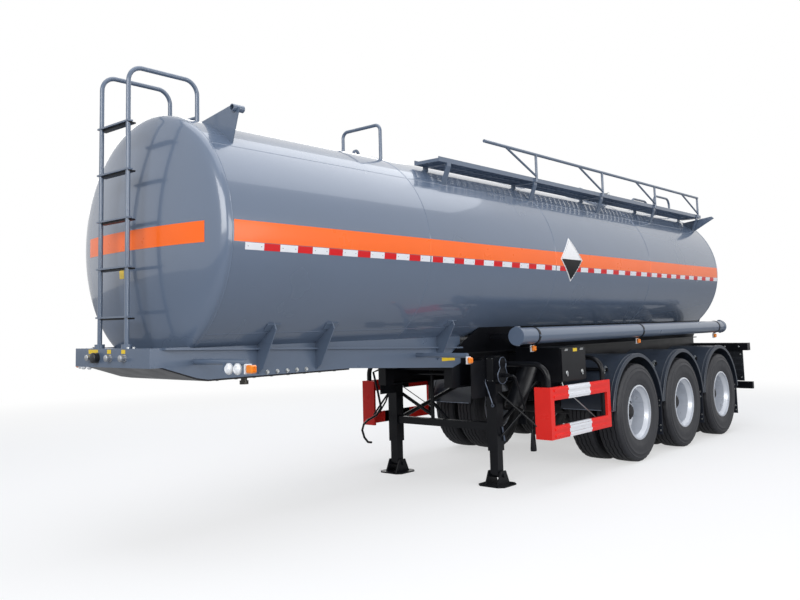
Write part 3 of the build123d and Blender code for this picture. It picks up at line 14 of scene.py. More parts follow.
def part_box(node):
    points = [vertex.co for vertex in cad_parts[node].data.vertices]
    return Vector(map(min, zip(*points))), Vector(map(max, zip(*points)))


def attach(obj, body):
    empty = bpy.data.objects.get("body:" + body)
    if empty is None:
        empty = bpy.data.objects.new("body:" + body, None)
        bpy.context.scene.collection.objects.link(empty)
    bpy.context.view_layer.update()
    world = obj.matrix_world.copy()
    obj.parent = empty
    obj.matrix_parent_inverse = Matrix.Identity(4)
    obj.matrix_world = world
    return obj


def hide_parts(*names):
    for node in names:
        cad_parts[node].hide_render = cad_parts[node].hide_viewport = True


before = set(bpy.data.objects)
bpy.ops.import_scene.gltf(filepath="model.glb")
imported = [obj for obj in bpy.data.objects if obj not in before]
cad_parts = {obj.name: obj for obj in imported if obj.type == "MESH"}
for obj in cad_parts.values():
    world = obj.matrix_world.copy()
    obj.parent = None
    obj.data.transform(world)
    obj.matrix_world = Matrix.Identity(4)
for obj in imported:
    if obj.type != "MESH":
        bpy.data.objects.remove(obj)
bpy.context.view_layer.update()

log = logging.getLogger("semi_trailer")

Point = Sequence[float]
CHASSIS = "chassis"
MM = 0.001
AXLES = (1, 2, 3)
FIRST_AXLE_X = sum(corner.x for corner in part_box("wheel_1_left_tyres")) / 2


class Side(Enum):
    """The two sides of the trailer, with the sign of Y on each."""

    LEFT = 1
    RIGHT = -1

    @property
    def word(self) -> str:
        """The side as it stands in node names."""
        return self.name.lower()


def from_axle(x: float) -> float:
    """Turns a length along the trailer, measured from the first axle, into the frame's X."""
    return FIRST_AXLE_X + x


def axle_x(number: int, side: Side) -> float:
    """The frame's X of one twin wheel's centre."""
    return sum(corner.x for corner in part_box(f"wheel_{number}_{side.word}_tyres")) / 2


def circle(count: int, radius: float, start: float = 0.0) -> list[tuple[float, float]]:
    """Places points evenly round a circle.

    Args:
        count: how many there are.
        radius: the circle's radius.
        start: the angle of the first one in radians.

    Returns:
        Their pairs of coordinates in the circle's plane.
    """
    turns = [math.tau * i / count + start for i in range(count)]
    return [(radius * math.cos(turn), radius * math.sin(turn)) for turn in turns]


def linear(hex_code: str) -> tuple[float, float, float, float]:
    """Turns an sRGB hex colour into linear RGBA.

    Args:
        hex_code: six hex digits with a leading hash.

    Returns:
        Red, green, blue and an alpha of one.
    """
    parts = [int(hex_code[i:i + 2], 16) / 255 for i in (1, 3, 5)]
    red, green, blue = [p / 12.92 if p <= 0.04045 else ((p + 0.055) / 1.055) ** 2.4 for p in parts]
    return (red, green, blue, 1.0)


def per_metre(size_mm: float) -> float:
    """The noise scale whose features are about this many millimetres across."""
    return 1000.0 / size_mm


def add_node(tree: bpy.types.NodeTree, kind: str, settings: Optional[dict[str, Any]] = None,
             inputs: Optional[dict[Any, Any]] = None) -> bpy.types.Node:
    """Adds one node with its settings and links.

    Args:
        tree: the node tree that takes the node.
        kind: the node's Blender type.
        settings: attributes of the node.
        inputs: what goes on each input, a socket to link or a constant.

    Returns:
        The new node.
    """
    node = tree.nodes.new(kind)
    for name, value in (settings or {}).items():
        setattr(node, name, value)
    for key, value in (inputs or {}).items():
        if isinstance(value, bpy.types.NodeSocket):
            tree.links.new(value, node.inputs[key])
        else:
            node.inputs[key].default_value = value
    return node


@dataclass(frozen=True)
class Finish:
    """A surface finish with a colour that varies a little, a fine grain and a slow waviness.

    Each finish names what the real surface is, or the painted highlight that it stands for; the fields hold what that
    gives the eye.
    """

    name: str
    colour: str
    second: str
    roughness: float
    spread: float = 0.06
    metallic: float = 0.0
    coat: float = 0.0
    coat_roughness: float = 0.05
    ior: float = 1.5
    patch_mm: float = 400.0
    patch_share: float = 0.5
    grain_mm: float = 2.0
    grain_depth_mm: float = 0.02
    wave_mm: float = 0.0
    wave_depth_mm: float = 0.0
    film: str = ""
    film_share: float = 0.0
    specular: float = 0.5

    def build(self) -> bpy.types.Material:
        """Builds the node material.

        Returns:
            The material, one for each finish.
        """
        if self.name in bpy.data.materials:
            return bpy.data.materials[self.name]
        material = bpy.data.materials.new(self.name)
        material.use_nodes = True
        tree = material.node_tree
        tree.nodes.clear()
        place = add_node(tree, "ShaderNodeTexCoord")
        patches = add_node(tree, "ShaderNodeTexNoise", {}, {
            "Vector": place.outputs["Object"], "Scale": per_metre(self.patch_mm), "Detail": 4.0, "Roughness": 0.6})
        share = add_node(tree, "ShaderNodeMapRange", {}, {
            "Value": patches.outputs["Fac"], "From Min": 0.35, "From Max": 0.7, "To Min": 0.0,
            "To Max": self.patch_share})
        colour = add_node(tree, "ShaderNodeMix", {"data_type": "RGBA"}, {
            "Factor": share.outputs["Result"], "A": linear(self.colour), "B": linear(self.second)})
        tint = colour.outputs["Result"]
        if self.film:
            tint = self.dusted(tree, place, tint)
        rough = add_node(tree, "ShaderNodeMapRange", {}, {
            "Value": patches.outputs["Fac"], "From Min": 0.3, "From Max": 0.75,
            "To Min": max(self.roughness - self.spread, 0.02), "To Max": min(self.roughness + self.spread, 1.0)})
        shader = add_node(tree, "ShaderNodeBsdfPrincipled", {}, {
            "Base Color": tint, "Roughness": rough.outputs["Result"], "Metallic": self.metallic, "IOR": self.ior,
            "Coat Weight": self.coat, "Coat Roughness": self.coat_roughness, "Specular IOR Level": self.specular,
            "Normal": self.relief(tree, place)})
        add_node(tree, "ShaderNodeOutputMaterial", {}, {"Surface": shader.outputs["BSDF"]})
        material.diffuse_color = linear(self.colour)
        return material

    def dusted(self, tree: bpy.types.NodeTree, place: bpy.types.Node,
               tint: bpy.types.NodeSocket) -> bpy.types.NodeSocket:
        """Lays a thin film, such as road dust, mostly on faces that look up and thinly elsewhere.

        Args:
            tree: the material's node tree.
            place: its Texture Coordinate node.
            tint: the colour under the film.

        Returns:
            The colour with the film on it.
        """
        facing = add_node(tree, "ShaderNodeNewGeometry")
        split = add_node(tree, "ShaderNodeSeparateXYZ", {}, {"Vector": facing.outputs["Normal"]})
        upward = add_node(tree, "ShaderNodeMapRange", {}, {
            "Value": split.outputs["Z"], "From Min": 0.2, "From Max": 1.0, "To Min": 0.15, "To Max": 1.0})
        cloud = add_node(tree, "ShaderNodeTexNoise", {}, {
            "Vector": place.outputs["Object"], "Scale": per_metre(60.0), "Detail": 5.0})
        amount = add_node(tree, "ShaderNodeMath", {"operation": "MULTIPLY"}, {
            0: upward.outputs["Result"], 1: cloud.outputs["Fac"]})
        limit = add_node(tree, "ShaderNodeMath", {"operation": "MULTIPLY"}, {
            0: amount.outputs["Value"], 1: self.film_share})
        mixed = add_node(tree, "ShaderNodeMix", {"data_type": "RGBA"}, {
            "Factor": limit.outputs["Value"], "A": tint, "B": linear(self.film)})
        return mixed.outputs["Result"]

    def relief(self, tree: bpy.types.NodeTree, place: bpy.types.Node) -> bpy.types.NodeSocket:
        """Gives the surface its grain and, where it has one, its slow waviness.

        Args:
            tree: the material's node tree.
            place: its Texture Coordinate node.

        Returns:
            The bumped normal.
        """
        grain = add_node(tree, "ShaderNodeTexNoise", {}, {
            "Vector": place.outputs["Object"], "Scale": per_metre(self.grain_mm), "Detail": 2.0})
        bump = add_node(tree, "ShaderNodeBump", {}, {
            "Strength": 0.6, "Distance": self.grain_depth_mm * MM, "Height": grain.outputs["Fac"]})
        if self.wave_mm:
            wave = add_node(tree, "ShaderNodeTexNoise", {}, {
                "Vector": place.outputs["Object"], "Scale": per_metre(self.wave_mm), "Detail": 0.0})
            bump = add_node(tree, "ShaderNodeBump", {}, {
                "Strength": 1.0, "Distance": self.wave_depth_mm * MM, "Height": wave.outputs["Fac"],
                "Normal": bump.outputs["Normal"]})
        return bump.outputs["Normal"]


@dataclass(frozen=True)
class PrismFilm(Finish):
    """Retro-reflective sheeting: a clear gloss face over small moulded prisms that show as a fine lattice."""

    cell_mm: float = 12.0

    def relief(self, tree: bpy.types.NodeTree, place: bpy.types.Node) -> bpy.types.NodeSocket:
        """Gives the film its lattice of prisms. Real cells are about 4 mm and are drawn coarser, so that they show.

        Args:
            tree: the material's node tree.
            place: its texture coordinates.

        Returns:
            The bumped normal.
        """
        lattice = add_node(tree, "ShaderNodeTexVoronoi", {"feature": "DISTANCE_TO_EDGE"}, {
            "Vector": place.outputs["Object"], "Scale": per_metre(self.cell_mm), "Randomness": 0.0})
        bump = add_node(tree, "ShaderNodeBump", {}, {
            "Strength": 0.4, "Distance": 0.15 * MM, "Height": lattice.outputs["Distance"]})
        return bump.outputs["Normal"]


class Finishes:
    """Every finish on the trailer, each named for what the real surface is or for the highlight that it paints."""

    # Two-pack polyurethane enamel, sprayed on rolled steel plate: deep gloss, faint orange peel, slow plate waviness
    tank_enamel = Finish("tank_polyurethane_enamel", "#5D6B80", "#556273", 0.26, spread=0.03, coat=0.75,
                         coat_roughness=0.04, patch_mm=900.0, patch_share=0.3, grain_mm=9.0, grain_depth_mm=0.004,
                         wave_mm=620.0, wave_depth_mm=0.9)
    # The same enamel on small fabricated parts, where no plate waviness shows
    frame_enamel = Finish("fabrication_polyurethane_enamel", "#58667A", "#505D6F", 0.3, spread=0.03,
                          coat=0.4, patch_mm=260.0, patch_share=0.3, grain_mm=6.0, grain_depth_mm=0.004,
                          film="#8B8A86", film_share=0.06)
    # Black alkyd chassis enamel over shot-blasted steel: satin, a little rough, dulled by thin road dust
    chassis_enamel = Finish("chassis_alkyd_enamel", "#0E0F13", "#14161B", 0.34, spread=0.06, coat=0.06,
                            coat_roughness=0.2, patch_mm=180.0, grain_mm=3.0, grain_depth_mm=0.01, film="#4A4B4E",
                            film_share=0.08, specular=0.2)
    # Red signal enamel on folded sheet: bright and glossy
    signal_red = Finish("guard_signal_red_enamel", "#EC2A22", "#E0241E", 0.3, spread=0.04, coat=0.12,
                        patch_mm=200.0, grain_mm=5.0, grain_depth_mm=0.005, film="#8B8078", film_share=0.03,
                        specular=0.25)
    # White enamel bands over the red, masked by hand
    signal_white = Finish("guard_white_enamel", "#ECEDF1", "#E2E4E9", 0.3, coat=0.2, patch_mm=150.0,
                          grain_mm=5.0, grain_depth_mm=0.005, specular=0.3)
    # Orange cast vinyl film: even colour and a soft gloss, with air pockets under it
    stripe_film = Finish("orange_cast_vinyl", "#FA6A12", "#F4640C", 0.3, spread=0.04, coat=0.25,
                         coat_roughness=0.12, patch_mm=340.0, grain_mm=14.0, grain_depth_mm=0.008, specular=0.3)
    # Truck tyre rubber: carbon black compound, moulded, matt with a brown-grey bloom
    tyre_rubber = Finish("vulcanised_tyre_rubber", "#212227", "#2A2B30", 0.55, spread=0.08, patch_mm=90.0,
                         grain_mm=1.6, grain_depth_mm=0.03, film="#4B4843", film_share=0.06, specular=0.45)
    # Silver baked enamel on pressed steel wheels: aluminium flake under a clear coat
    wheel_silver = Finish("silver_baked_wheel_enamel", "#D3D7DE", "#C4C9D2", 0.32, metallic=0.25, coat=0.5,
                          coat_roughness=0.1, patch_mm=120.0, grain_mm=1.2, grain_depth_mm=0.02, film="#8E8C88",
                          film_share=0.08)
    # Grey cast iron drums and hubs: dark, rough from the sand mould
    cast_iron = Finish("grey_cast_iron", "#1C1C1F", "#26262A", 0.62, metallic=0.35, patch_mm=70.0, grain_mm=2.5,
                       grain_depth_mm=0.2, film="#4C4A47", film_share=0.2)
    # Oil-quenched leaf spring steel: blue-black scale
    spring_steel = Finish("quenched_spring_steel", "#1B1C20", "#23262C", 0.45, metallic=0.6, patch_mm=80.0,
                          grain_mm=1.5, grain_depth_mm=0.05)
    # Rotation-moulded polyethylene mudguards: slate, satin, fine orange-skin grain
    guard_plastic = Finish("moulded_polyethylene", "#2B333F", "#252C37", 0.36, spread=0.05, patch_mm=300.0,
                           grain_mm=2.2, grain_depth_mm=0.01, film="#50545C", film_share=0.08)
    # Light blue-grey tubes along the mudguards' lower ends: a painted highlight of their lit edges
    guard_end_highlight = Finish("painted_highlight_guard_ends", "#8B95A5", "#7E8896", 0.4, metallic=0.6, patch_mm=40.0,
                        grain_mm=1.5, grain_depth_mm=0.01)
    # Grey steel of the shift rods, also drawn as a thin rim on the gearbox cover, where it is a painted highlight of
    # the lit edge
    grey_steel_and_rim_highlight = Finish("worn_steel_edge", "#5A6373", "#4C5462", 0.42, metallic=0.4, patch_mm=40.0, grain_mm=1.5,
                       grain_depth_mm=0.01)
    # Black ribbed ABS rear panels
    panel_plastic = Finish("ribbed_abs_panel", "#1D2025", "#24272D", 0.44, patch_mm=160.0, grain_mm=2.0,
                           grain_depth_mm=0.02, film="#5E5E5E", film_share=0.06, specular=0.4)
    # Calendered rubber flaps: blue-black, soft sheen
    flap_rubber = Finish("calendered_flap_rubber", "#141A26", "#1A202D", 0.5, patch_mm=120.0, grain_mm=2.0,
                         grain_depth_mm=0.02, film="#4A4A4A", film_share=0.06)
    # Zinc-plated bolts: pale metal, thin passivation
    zinc = Finish("zinc_plated_steel", "#B9BCBF", "#A5A89F", 0.34, metallic=1.0, patch_mm=18.0, grain_mm=0.8,
                  grain_depth_mm=0.02)
    # Machined alloy steel pin under a film of grease
    pin_steel = Finish("greased_alloy_steel", "#54524E", "#3B3935", 0.28, metallic=1.0, coat=0.4, patch_mm=30.0,
                       grain_mm=1.0, grain_depth_mm=0.02)
    # Die-cast aluminium coupling heads: dull silver with a fine cast skin
    cast_aluminium = Finish("die_cast_aluminium", "#AEB1B5", "#9C9FA4", 0.4, metallic=0.9, patch_mm=25.0,
                            grain_mm=1.2, grain_depth_mm=0.05)
    # Brushed stainless steel lid: silver, softly mirrored
    stainless = Finish("brushed_stainless_steel", "#B4B7BA", "#A6A9AD", 0.3, metallic=1.0, patch_mm=120.0,
                       grain_mm=1.0, grain_depth_mm=0.02)
    # Red and white microprismatic sheeting, moulded and then laminated: clear gloss over a fine lattice
    tape_red = PrismFilm("red_prismatic_sheeting", "#D5141C", "#C81018", 0.34, coat=0.15, patch_mm=60.0,
                         specular=0.25)
    tape_white = PrismFilm("white_prismatic_sheeting", "#E6E7EB", "#DADCE2", 0.34, coat=0.15, patch_mm=60.0,
                           specular=0.3)
    # White and black screen-printed film of the bare placard: even, with little gloss
    placard_white = Finish("white_placard_film", "#EDEDEE", "#E4E4E6", 0.3, coat=0.4, patch_mm=90.0)
    placard_black = Finish("black_placard_film", "#101114", "#151619", 0.4, patch_mm=90.0, specular=0.15)
    # Yellow stove enamel on stamped tag plates: even and smooth
    tag_yellow = Finish("yellow_enamel_tag", "#E8C41A", "#DDB812", 0.34, coat=0.3, patch_mm=30.0)
    # Amber, red and clear acrylic lenses over a moulded base
    lens_amber = Finish("amber_acrylic_lens", "#F58A0C", "#EC7A06", 0.16, coat=1.0, patch_mm=14.0, grain_mm=4.0,
                        grain_depth_mm=0.2)
    lens_red = Finish("red_acrylic_lens", "#B3120F", "#9D0D0B", 0.16, coat=1.0, patch_mm=14.0, grain_mm=4.0,
                      grain_depth_mm=0.2)
    lens_clear = Finish("clear_acrylic_lens", "#EDEFF2", "#DDE0E5", 0.12, coat=1.0, patch_mm=14.0, grain_mm=4.0,
                        grain_depth_mm=0.2)
    lamp_base = Finish("white_abs_lamp_base", "#D9DADC", "#CBCDD0", 0.38, patch_mm=20.0)
    # Moulded nylon caps and sockets: black and satin
    black_nylon = Finish("black_moulded_nylon", "#16171A", "#1D1E22", 0.42, patch_mm=24.0, grain_mm=1.2)
    # Rolled matt floor paint of the studio: near white, without gloss
    floor_paint = Finish("matt_floor_paint", "#F4F4F4", "#F1F1F1", 0.9, patch_mm=3000.0, grain_mm=40.0,
                         grain_depth_mm=0.01, specular=0.1)


class Shape:
    """Collects faces for one mesh piece, in metres in the part's frame."""

    def __init__(self) -> None:
        """Starts with no points and no faces."""
        self.points: list[tuple[float, ...]] = []
        self.faces: list[tuple[int, ...]] = []
        self.tags: list[int] = []
        self.tag = 0

    def add(self, points: Iterable[Point], faces: Iterable[Sequence[int]]) -> None:
        """Adds points and the faces between them, tagged with the current finish.

        Args:
            points: the new points.
            faces: the faces, as places in the list of points.
        """
        start = len(self.points)
        self.points += [tuple(p) for p in points]
        for face in faces:
            self.faces.append(tuple(start + i for i in face))
            self.tags.append(self.tag)

    def sheet(self, rows: Sequence[Sequence[Point]], wrap: bool = False) -> None:
        """Adds a sheet of quads through rows of points.

        Args:
            rows: rows of equally many points.
            wrap: joins the last row to the first.
        """
        width = len(rows[0])
        count = len(rows) if wrap else len(rows) - 1
        faces = []
        for i in range(count):
            for j in range(width - 1):
                below = (i + 1) % len(rows) * width
                faces.append((i * width + j, i * width + j + 1, below + j + 1, below + j))
        self.add([p for row in rows for p in row], faces)

    def lathe(self, profile: Sequence[tuple[float, float]], centre: Point, axis: Point, steps: int = 32) -> None:
        """Turns a profile about an axis.

        Args:
            profile: pairs of distance along the axis and radius.
            centre: the point that the distances start from.
            axis: the direction of the axis.
            steps: points round the circle.
        """
        turn = Vector(axis).normalized().to_track_quat("Z", "Y").to_matrix()
        rows = []
        for i in range(steps):
            angle = math.tau * i / steps
            rows.append([Vector(centre) + turn @ Vector((r * math.cos(angle), r * math.sin(angle), along))
                         for along, r in profile])
        self.sheet(rows, wrap=True)

    def block(self, low: Point, high: Point, chamfer: float = 0.0) -> None:
        """Adds a box with chamfered edges.

        Args:
            low: its lowest corner.
            high: its highest corner.
            chamfer: the width of the cut edges.
        """
        mid = (Vector(low) + Vector(high)) / 2
        half = (Vector(high) - Vector(low)) / 2
        half = Vector([abs(h) for h in half])
        cut = min(chamfer, min(half) * 0.9) or min(half) * 0.02
        signs = [(a, b, c) for a in (-1, 1) for b in (-1, 1) for c in (-1, 1)]
        points = []
        for corner in signs:
            for axis in range(3):
                points.append([mid[k] + corner[k] * (half[k] if k == axis else half[k] - cut) for k in range(3)])
        index = {(corner, axis): signs.index(corner) * 3 + axis for corner in signs for axis in range(3)}
        faces: list[tuple[int, ...]] = [tuple(index[(corner, k)] for k in range(3)) for corner in signs]
        for axis in range(3):
            b, c = [k for k in range(3) if k != axis]
            for sign in (-1, 1):
                ring = []
                for sb, sc in ((-1, -1), (1, -1), (1, 1), (-1, 1)):
                    corner = [0, 0, 0]
                    corner[axis], corner[b], corner[c] = sign, sb, sc
                    ring.append(index[(tuple(corner), axis)])
                faces.append(tuple(ring))
            for sb in (-1, 1):
                for sc in (-1, 1):
                    ends = []
                    for sign in (-1, 1):
                        corner = [0, 0, 0]
                        corner[axis], corner[b], corner[c] = sign, sb, sc
                        ends.append(tuple(corner))
                    faces.append((index[(ends[0], b)], index[(ends[1], b)], index[(ends[1], c)], index[(ends[0], c)]))
        self.add(points, faces)

    def tube(self, path: Sequence[Point], radius: float, steps: int = 12) -> None:
        """Adds a round bar along a path, closed at both ends.

        Args:
            path: the points of its centre line.
            radius: its radius.
            steps: points round it.
        """
        line = [Vector(p) for p in path]
        rows = []
        side = Vector((0, 0, 1))
        for i, here in enumerate(line):
            ahead = (line[min(i + 1, len(line) - 1)] - line[max(i - 1, 0)]).normalized()
            if abs(ahead.dot(side)) > 0.95:
                side = Vector((1, 0, 0)) if abs(ahead.x) < 0.9 else Vector((0, 1, 0))
            side = (side - ahead * side.dot(ahead)).normalized()
            other = ahead.cross(side)
            ring = [here + (side * math.cos(math.tau * k / steps) + other * math.sin(math.tau * k / steps)) * radius
                    for k in range(steps)]
            rows.append(ring + [ring[0]])
        rows = [[line[0]] * (steps + 1)] + rows + [[line[-1]] * (steps + 1)]
        self.sheet(rows)

    def bolt(self, base: Point, axis: Point, across: float, height: float) -> None:
        """Adds a hexagon head with a chamfered top on a washer.

        Args:
            base: the middle of the washer's seat.
            axis: the way that the head stands.
            across: its width across the flats.
            height: the height of the head.
        """
        washer = height * 0.18
        self.lathe([(0.0, 0.0), (0.0, across * 0.72), (washer, across * 0.72), (washer, 0.0)], base, axis, 12)
        radius = across / math.sqrt(3)
        self.lathe([(washer, 0.0), (washer, radius), (height * 0.85, radius), (height, radius * 0.86), (height, 0.0)],
                   base, axis, 6)

    def make(self, name: str, finishes: Sequence[Finish], body: str, closed: bool = True,
             crease: float = 32.0) -> bpy.types.Object:
        """Makes the mesh piece and hangs it on its body.

        Args:
            name: the piece's name.
            finishes: the finish for each tag.
            body: the body that it rides on.
            closed: turns the faces of closed shells outward.
            crease: the angle in degrees above which an edge stays sharp.

        Returns:
            The piece.
        """
        mesh = bpy.data.meshes.new(name)
        mesh.from_pydata(self.points, [], self.faces)
        for finish in finishes:
            mesh.materials.append(finish.build())
        for polygon, tag in zip(mesh.polygons, self.tags):
            polygon.material_index = tag
        work = bmesh.new()
        work.from_mesh(mesh)
        bmesh.ops.remove_doubles(work, verts=work.verts, dist=1e-6)
        bmesh.ops.dissolve_degenerate(work, edges=work.edges, dist=1e-6)
        if closed:
            bmesh.ops.recalc_face_normals(work, faces=work.faces)
        work.to_mesh(mesh)
        work.free()
        mesh.polygons.foreach_set("use_smooth", [True] * len(mesh.polygons))
        mesh.set_sharp_from_angle(angle=math.radians(crease))
        piece = bpy.data.objects.new(name, mesh)
        bpy.context.scene.collection.objects.link(piece)
        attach(piece, body)
        log.info("%s: %d faces on %s", name, len(mesh.polygons), body)
        return piece


@dataclass
class TankLivery:
    """The orange stripe, the reflective tape and the bare placard on the tank."""

    radius: float = 0.927
    centre_z: float = 2.243
    front_seam: float = 5.462
    rear_seam: float = -3.65
    seams: tuple[float, ...] = (3.31, 1.16, -1.24)
    seam_half: float = 0.007
    seam_height: float = 0.003
    film: float = 0.0009
    stripe_low: float = 2.165
    stripe_high: float = 2.311
    head_depth: float = 0.165
    knuckle_depth: float = 0.083
    crease_radius: float = 0.77
    head_stripe_half: float = 0.748
    tape_height: float = 0.05
    tape_gap: float = 0.003
    tape_front: float = 5.343
    tape_rear: float = -3.639
    tape_count: int = 57
    tape_white: float = 0.168
    tape_red: float = 0.147
    tape_joint: float = 0.001
    tape_shortest: float = 0.012
    seam_room: float = 0.009
    shell_steps: int = 24
    stripe_inset: float = 0.022
    placard_x: float = 0.83
    placard_z: float = 2.241
    placard_half: float = 0.238
    placard_lift: float = 0.005
    placard_ink: float = 0.0004
    placard_line: float = 0.0035
    rivet_inset: float = 0.024
    rivet_radius: float = 0.0036
    rivet_clear: float = 0.02
    weld_runs: tuple[tuple[float, float, float], ...] = (
        (47.0, 5.44, -3.63), (-47.0, 5.44, -3.63), (139.0, 5.44, 2.2), (-139.0, 5.44, 2.2))
    weld_half: float = 0.006
    weld_height: float = 0.0022
    weld_steps: int = 60

    def on_side(self, x: float, z: float, side: Side, lift: float) -> Vector:
        """Finds a point on the tank's side, or just off it.

        Args:
            x: its length from the first axle.
            z: its height.
            side: the trailer's side.
            lift: how far it lies off the shell.

        Returns:
            The point in the frame.
        """
        rise = z - self.centre_z
        reach = math.sqrt((self.radius + lift) ** 2 - rise ** 2)
        return Vector((from_axle(x), side.value * reach, z))

    def stations(self, rear: float, front: float) -> list[tuple[float, float]]:
        """Stations along the shell with the height of the weld bead there.

        Args:
            rear: where the run starts.
            front: where it ends.

        Returns:
            Pairs of station and bead height, from rear to front.
        """
        marks = [(rear, 0.0), (front, 0.0)]
        for seam in self.seams:
            for step, height in ((-1.0, 0.0), (-0.5, 1.0), (0.5, 1.0), (1.0, 0.0)):
                station = seam + step * self.seam_half
                if rear < station < front:
                    marks.append((station, height * self.seam_height))
        for i in range(1, self.shell_steps):
            station = rear + (front - rear) * i / self.shell_steps
            if all(abs(station - seam) > 2 * self.seam_half for seam in self.seams):
                marks.append((station, 0.0))
        return sorted(marks)

    def stripe_levels(self, count: int = 8) -> list[float]:
        """The heights of the stripe's rows of points, from its lower edge to its upper one."""
        return [self.stripe_low + (self.stripe_high - self.stripe_low) * k / count for k in range(count + 1)]

    def side_stripe(self, side: Side) -> None:
        """Lays the stripe along one side, over the weld beads.

        Args:
            side: the trailer's side.
        """
        film = Shape()
        rows = []
        for station, bead in self.stations(self.rear_seam, self.front_seam - self.stripe_inset):
            row = [self.on_side(station, z, side, self.film + bead) for z in self.stripe_levels()]
            rows.append(row if side is Side.RIGHT else row[::-1])
        film.sheet(rows)
        film.make(f"side_stripe_{side.word}", [Finishes.stripe_film], CHASSIS, closed=False)

    def on_head(self, y: float, z: float) -> Vector:
        """Finds the point of the front head's crown at a place across it and a height.

        Args:
            y: the place across the head.
            z: the height.

        Returns:
            The point in the frame.
        """
        crown = self.head_depth - self.knuckle_depth
        crown_radius = (self.crease_radius ** 2 + crown ** 2) / (2 * crown)
        out = y ** 2 + (z - self.centre_z) ** 2
        x = self.front_seam + self.head_depth - crown_radius + math.sqrt(crown_radius ** 2 - out)
        return Vector((from_axle(x) + self.film, y, z))

    def head_stripe(self) -> None:
        """Lays the stripe across the crown of the front head, between its creases."""
        film = Shape()
        steps = 48
        stations = [self.head_stripe_half * (2 * i / steps - 1) for i in range(steps + 1)]
        film.sheet([[self.on_head(y, z) for z in self.stripe_levels()] for y in stations])
        film.make("head_stripe", [Finishes.stripe_film], CHASSIS, closed=False)

    def patch(self, shape: Shape, x0: float, x1: float, z0: float, z1: float, side: Side) -> None:
        """Adds one strip of sheeting with turned-down edges on the tank's side.

        Args:
            shape: the shape that takes it.
            x0: its rear end, from the first axle.
            x1: its front end.
            z0: its lower edge.
            z1: its upper edge.
            side: the trailer's side.
        """
        lift = self.film * 1.6
        edge = self.film * 0.2
        inset = 0.0012
        rows = []
        for x, out in ((x0, edge), (x0 + inset, lift), (x1 - inset, lift), (x1, edge)):
            row = []
            for z, height in ((z0, edge), (z0 + inset, out), ((z0 + z1) / 2, out), (z1 - inset, out), (z1, edge)):
                row.append(self.on_side(x, z, side, height))
            rows.append(row if side is Side.RIGHT else row[::-1])
        shape.sheet(rows)

    def tape(self, side: Side) -> None:
        """Lays the row of white and red lengths under the stripe.

        Args:
            side: the trailer's side.
        """
        row = Shape()
        top = self.stripe_low - self.tape_gap
        low = top - self.tape_height
        pair = (self.tape_front - self.tape_rear) / (self.tape_count / 2)
        scale = pair / (self.tape_white + self.tape_red)
        station = self.tape_front
        for i in range(self.tape_count):
            row.tag = i % 2
            length = (self.tape_red if i % 2 else self.tape_white) * scale
            near = self.seam_room + self.tape_joint
            crossed = [s for s in self.seams if station - length - near < s < station + near]
            rear = station - length + self.tape_joint
            runs = [(rear, station)]
            if crossed:
                runs = [(crossed[0] + self.seam_room, station), (rear, crossed[0] - self.seam_room)]
            for start, end in runs:
                if end - start > self.tape_shortest:
                    self.patch(row, start, end, low, top, side)
            if i % 2 == 0:
                self.rivets(row, rear, station, top - self.tape_height / 2, side)
            station -= length
        row.make(f"reflective_tape_{side.word}", [Finishes.tape_white, Finishes.tape_red, Finishes.black_nylon],
                 CHASSIS, closed=False)

    def rivets(self, row: Shape, rear: float, front: float, z: float, side: Side) -> None:
        """Sets the two small dark rivets near the ends of a white length.

        Args:
            row: the shape that takes them.
            rear: the length's rear end.
            front: its front end.
            z: their height.
            side: the trailer's side.
        """
        row.tag = 2
        for x in (rear + self.rivet_inset, front - self.rivet_inset):
            if any(abs(x - seam) < self.rivet_clear for seam in self.seams):
                continue
            base = self.on_side(x, z, side, self.film)
            out = Vector((0.0, base.y, z - self.centre_z))
            r = self.rivet_radius
            row.lathe([(0.0, r), (0.0012, r * 0.9), (0.002, r * 0.5), (0.0023, 0.0)], base, out, 8)

    def placard(self) -> None:
        """Mounts the bare diamond: white above, black below, inside a white rim."""
        plate = Shape()
        steps = 16
        across_steps = 8
        edge_steps = 8
        full = self.placard_half
        lift = self.placard_lift
        inked = lift + self.placard_ink
        rim = full * 0.93
        line = self.placard_line

        def at(across: float, up: float, out: float) -> Vector:
            """The point over the tank at a place on the diamond."""
            return self.on_side(self.placard_x + across, self.placard_z + up, Side.LEFT, out)

        def half_diamond(half: float, out: float, low: float, high: float) -> None:
            """Adds the upper or the lower half of a diamond.

            Args:
                half: the diamond's half width and half height.
                out: how far it lies off the shell.
                low: its lower end, from the placard's middle.
                high: its upper end, from the placard's middle.
            """
            rows = []
            for i in range(steps + 1):
                up = low + (high - low) * i / steps
                wide = half - abs(up)
                rows.append([at(wide * (1 - 2 * k / across_steps), up, out) for k in range(across_steps + 1)])
            plate.sheet(rows)

        half_diamond(full, lift, -full, 0.0)
        half_diamond(full, lift, 0.0, full)
        plate.tag = 1
        half_diamond(rim, inked, -rim, 0.0)
        for sign in (1, -1):
            ups = [(rim - 0.012) * i / steps for i in range(steps + 1)]
            plate.sheet([[at(sign * (rim - up), up, inked), at(sign * (rim - up - line), up, inked)] for up in ups])
        plate.tag = 0
        corners = [(full, 0.0), (0.0, full), (-full, 0.0), (0.0, -full)]
        for (x0, z0), (x1, z1) in zip(corners, corners[1:] + corners[:1]):
            shares = [i / edge_steps for i in range(edge_steps + 1)]
            spots = [(x0 + (x1 - x0) * share, z0 + (z1 - z0) * share) for share in shares]
            plate.sheet([[at(x, z, 0.0), at(x, z, lift)] for x, z in spots])
        plate.make("hazard_placard", [Finishes.placard_white, Finishes.placard_black], CHASSIS,
                   closed=False)

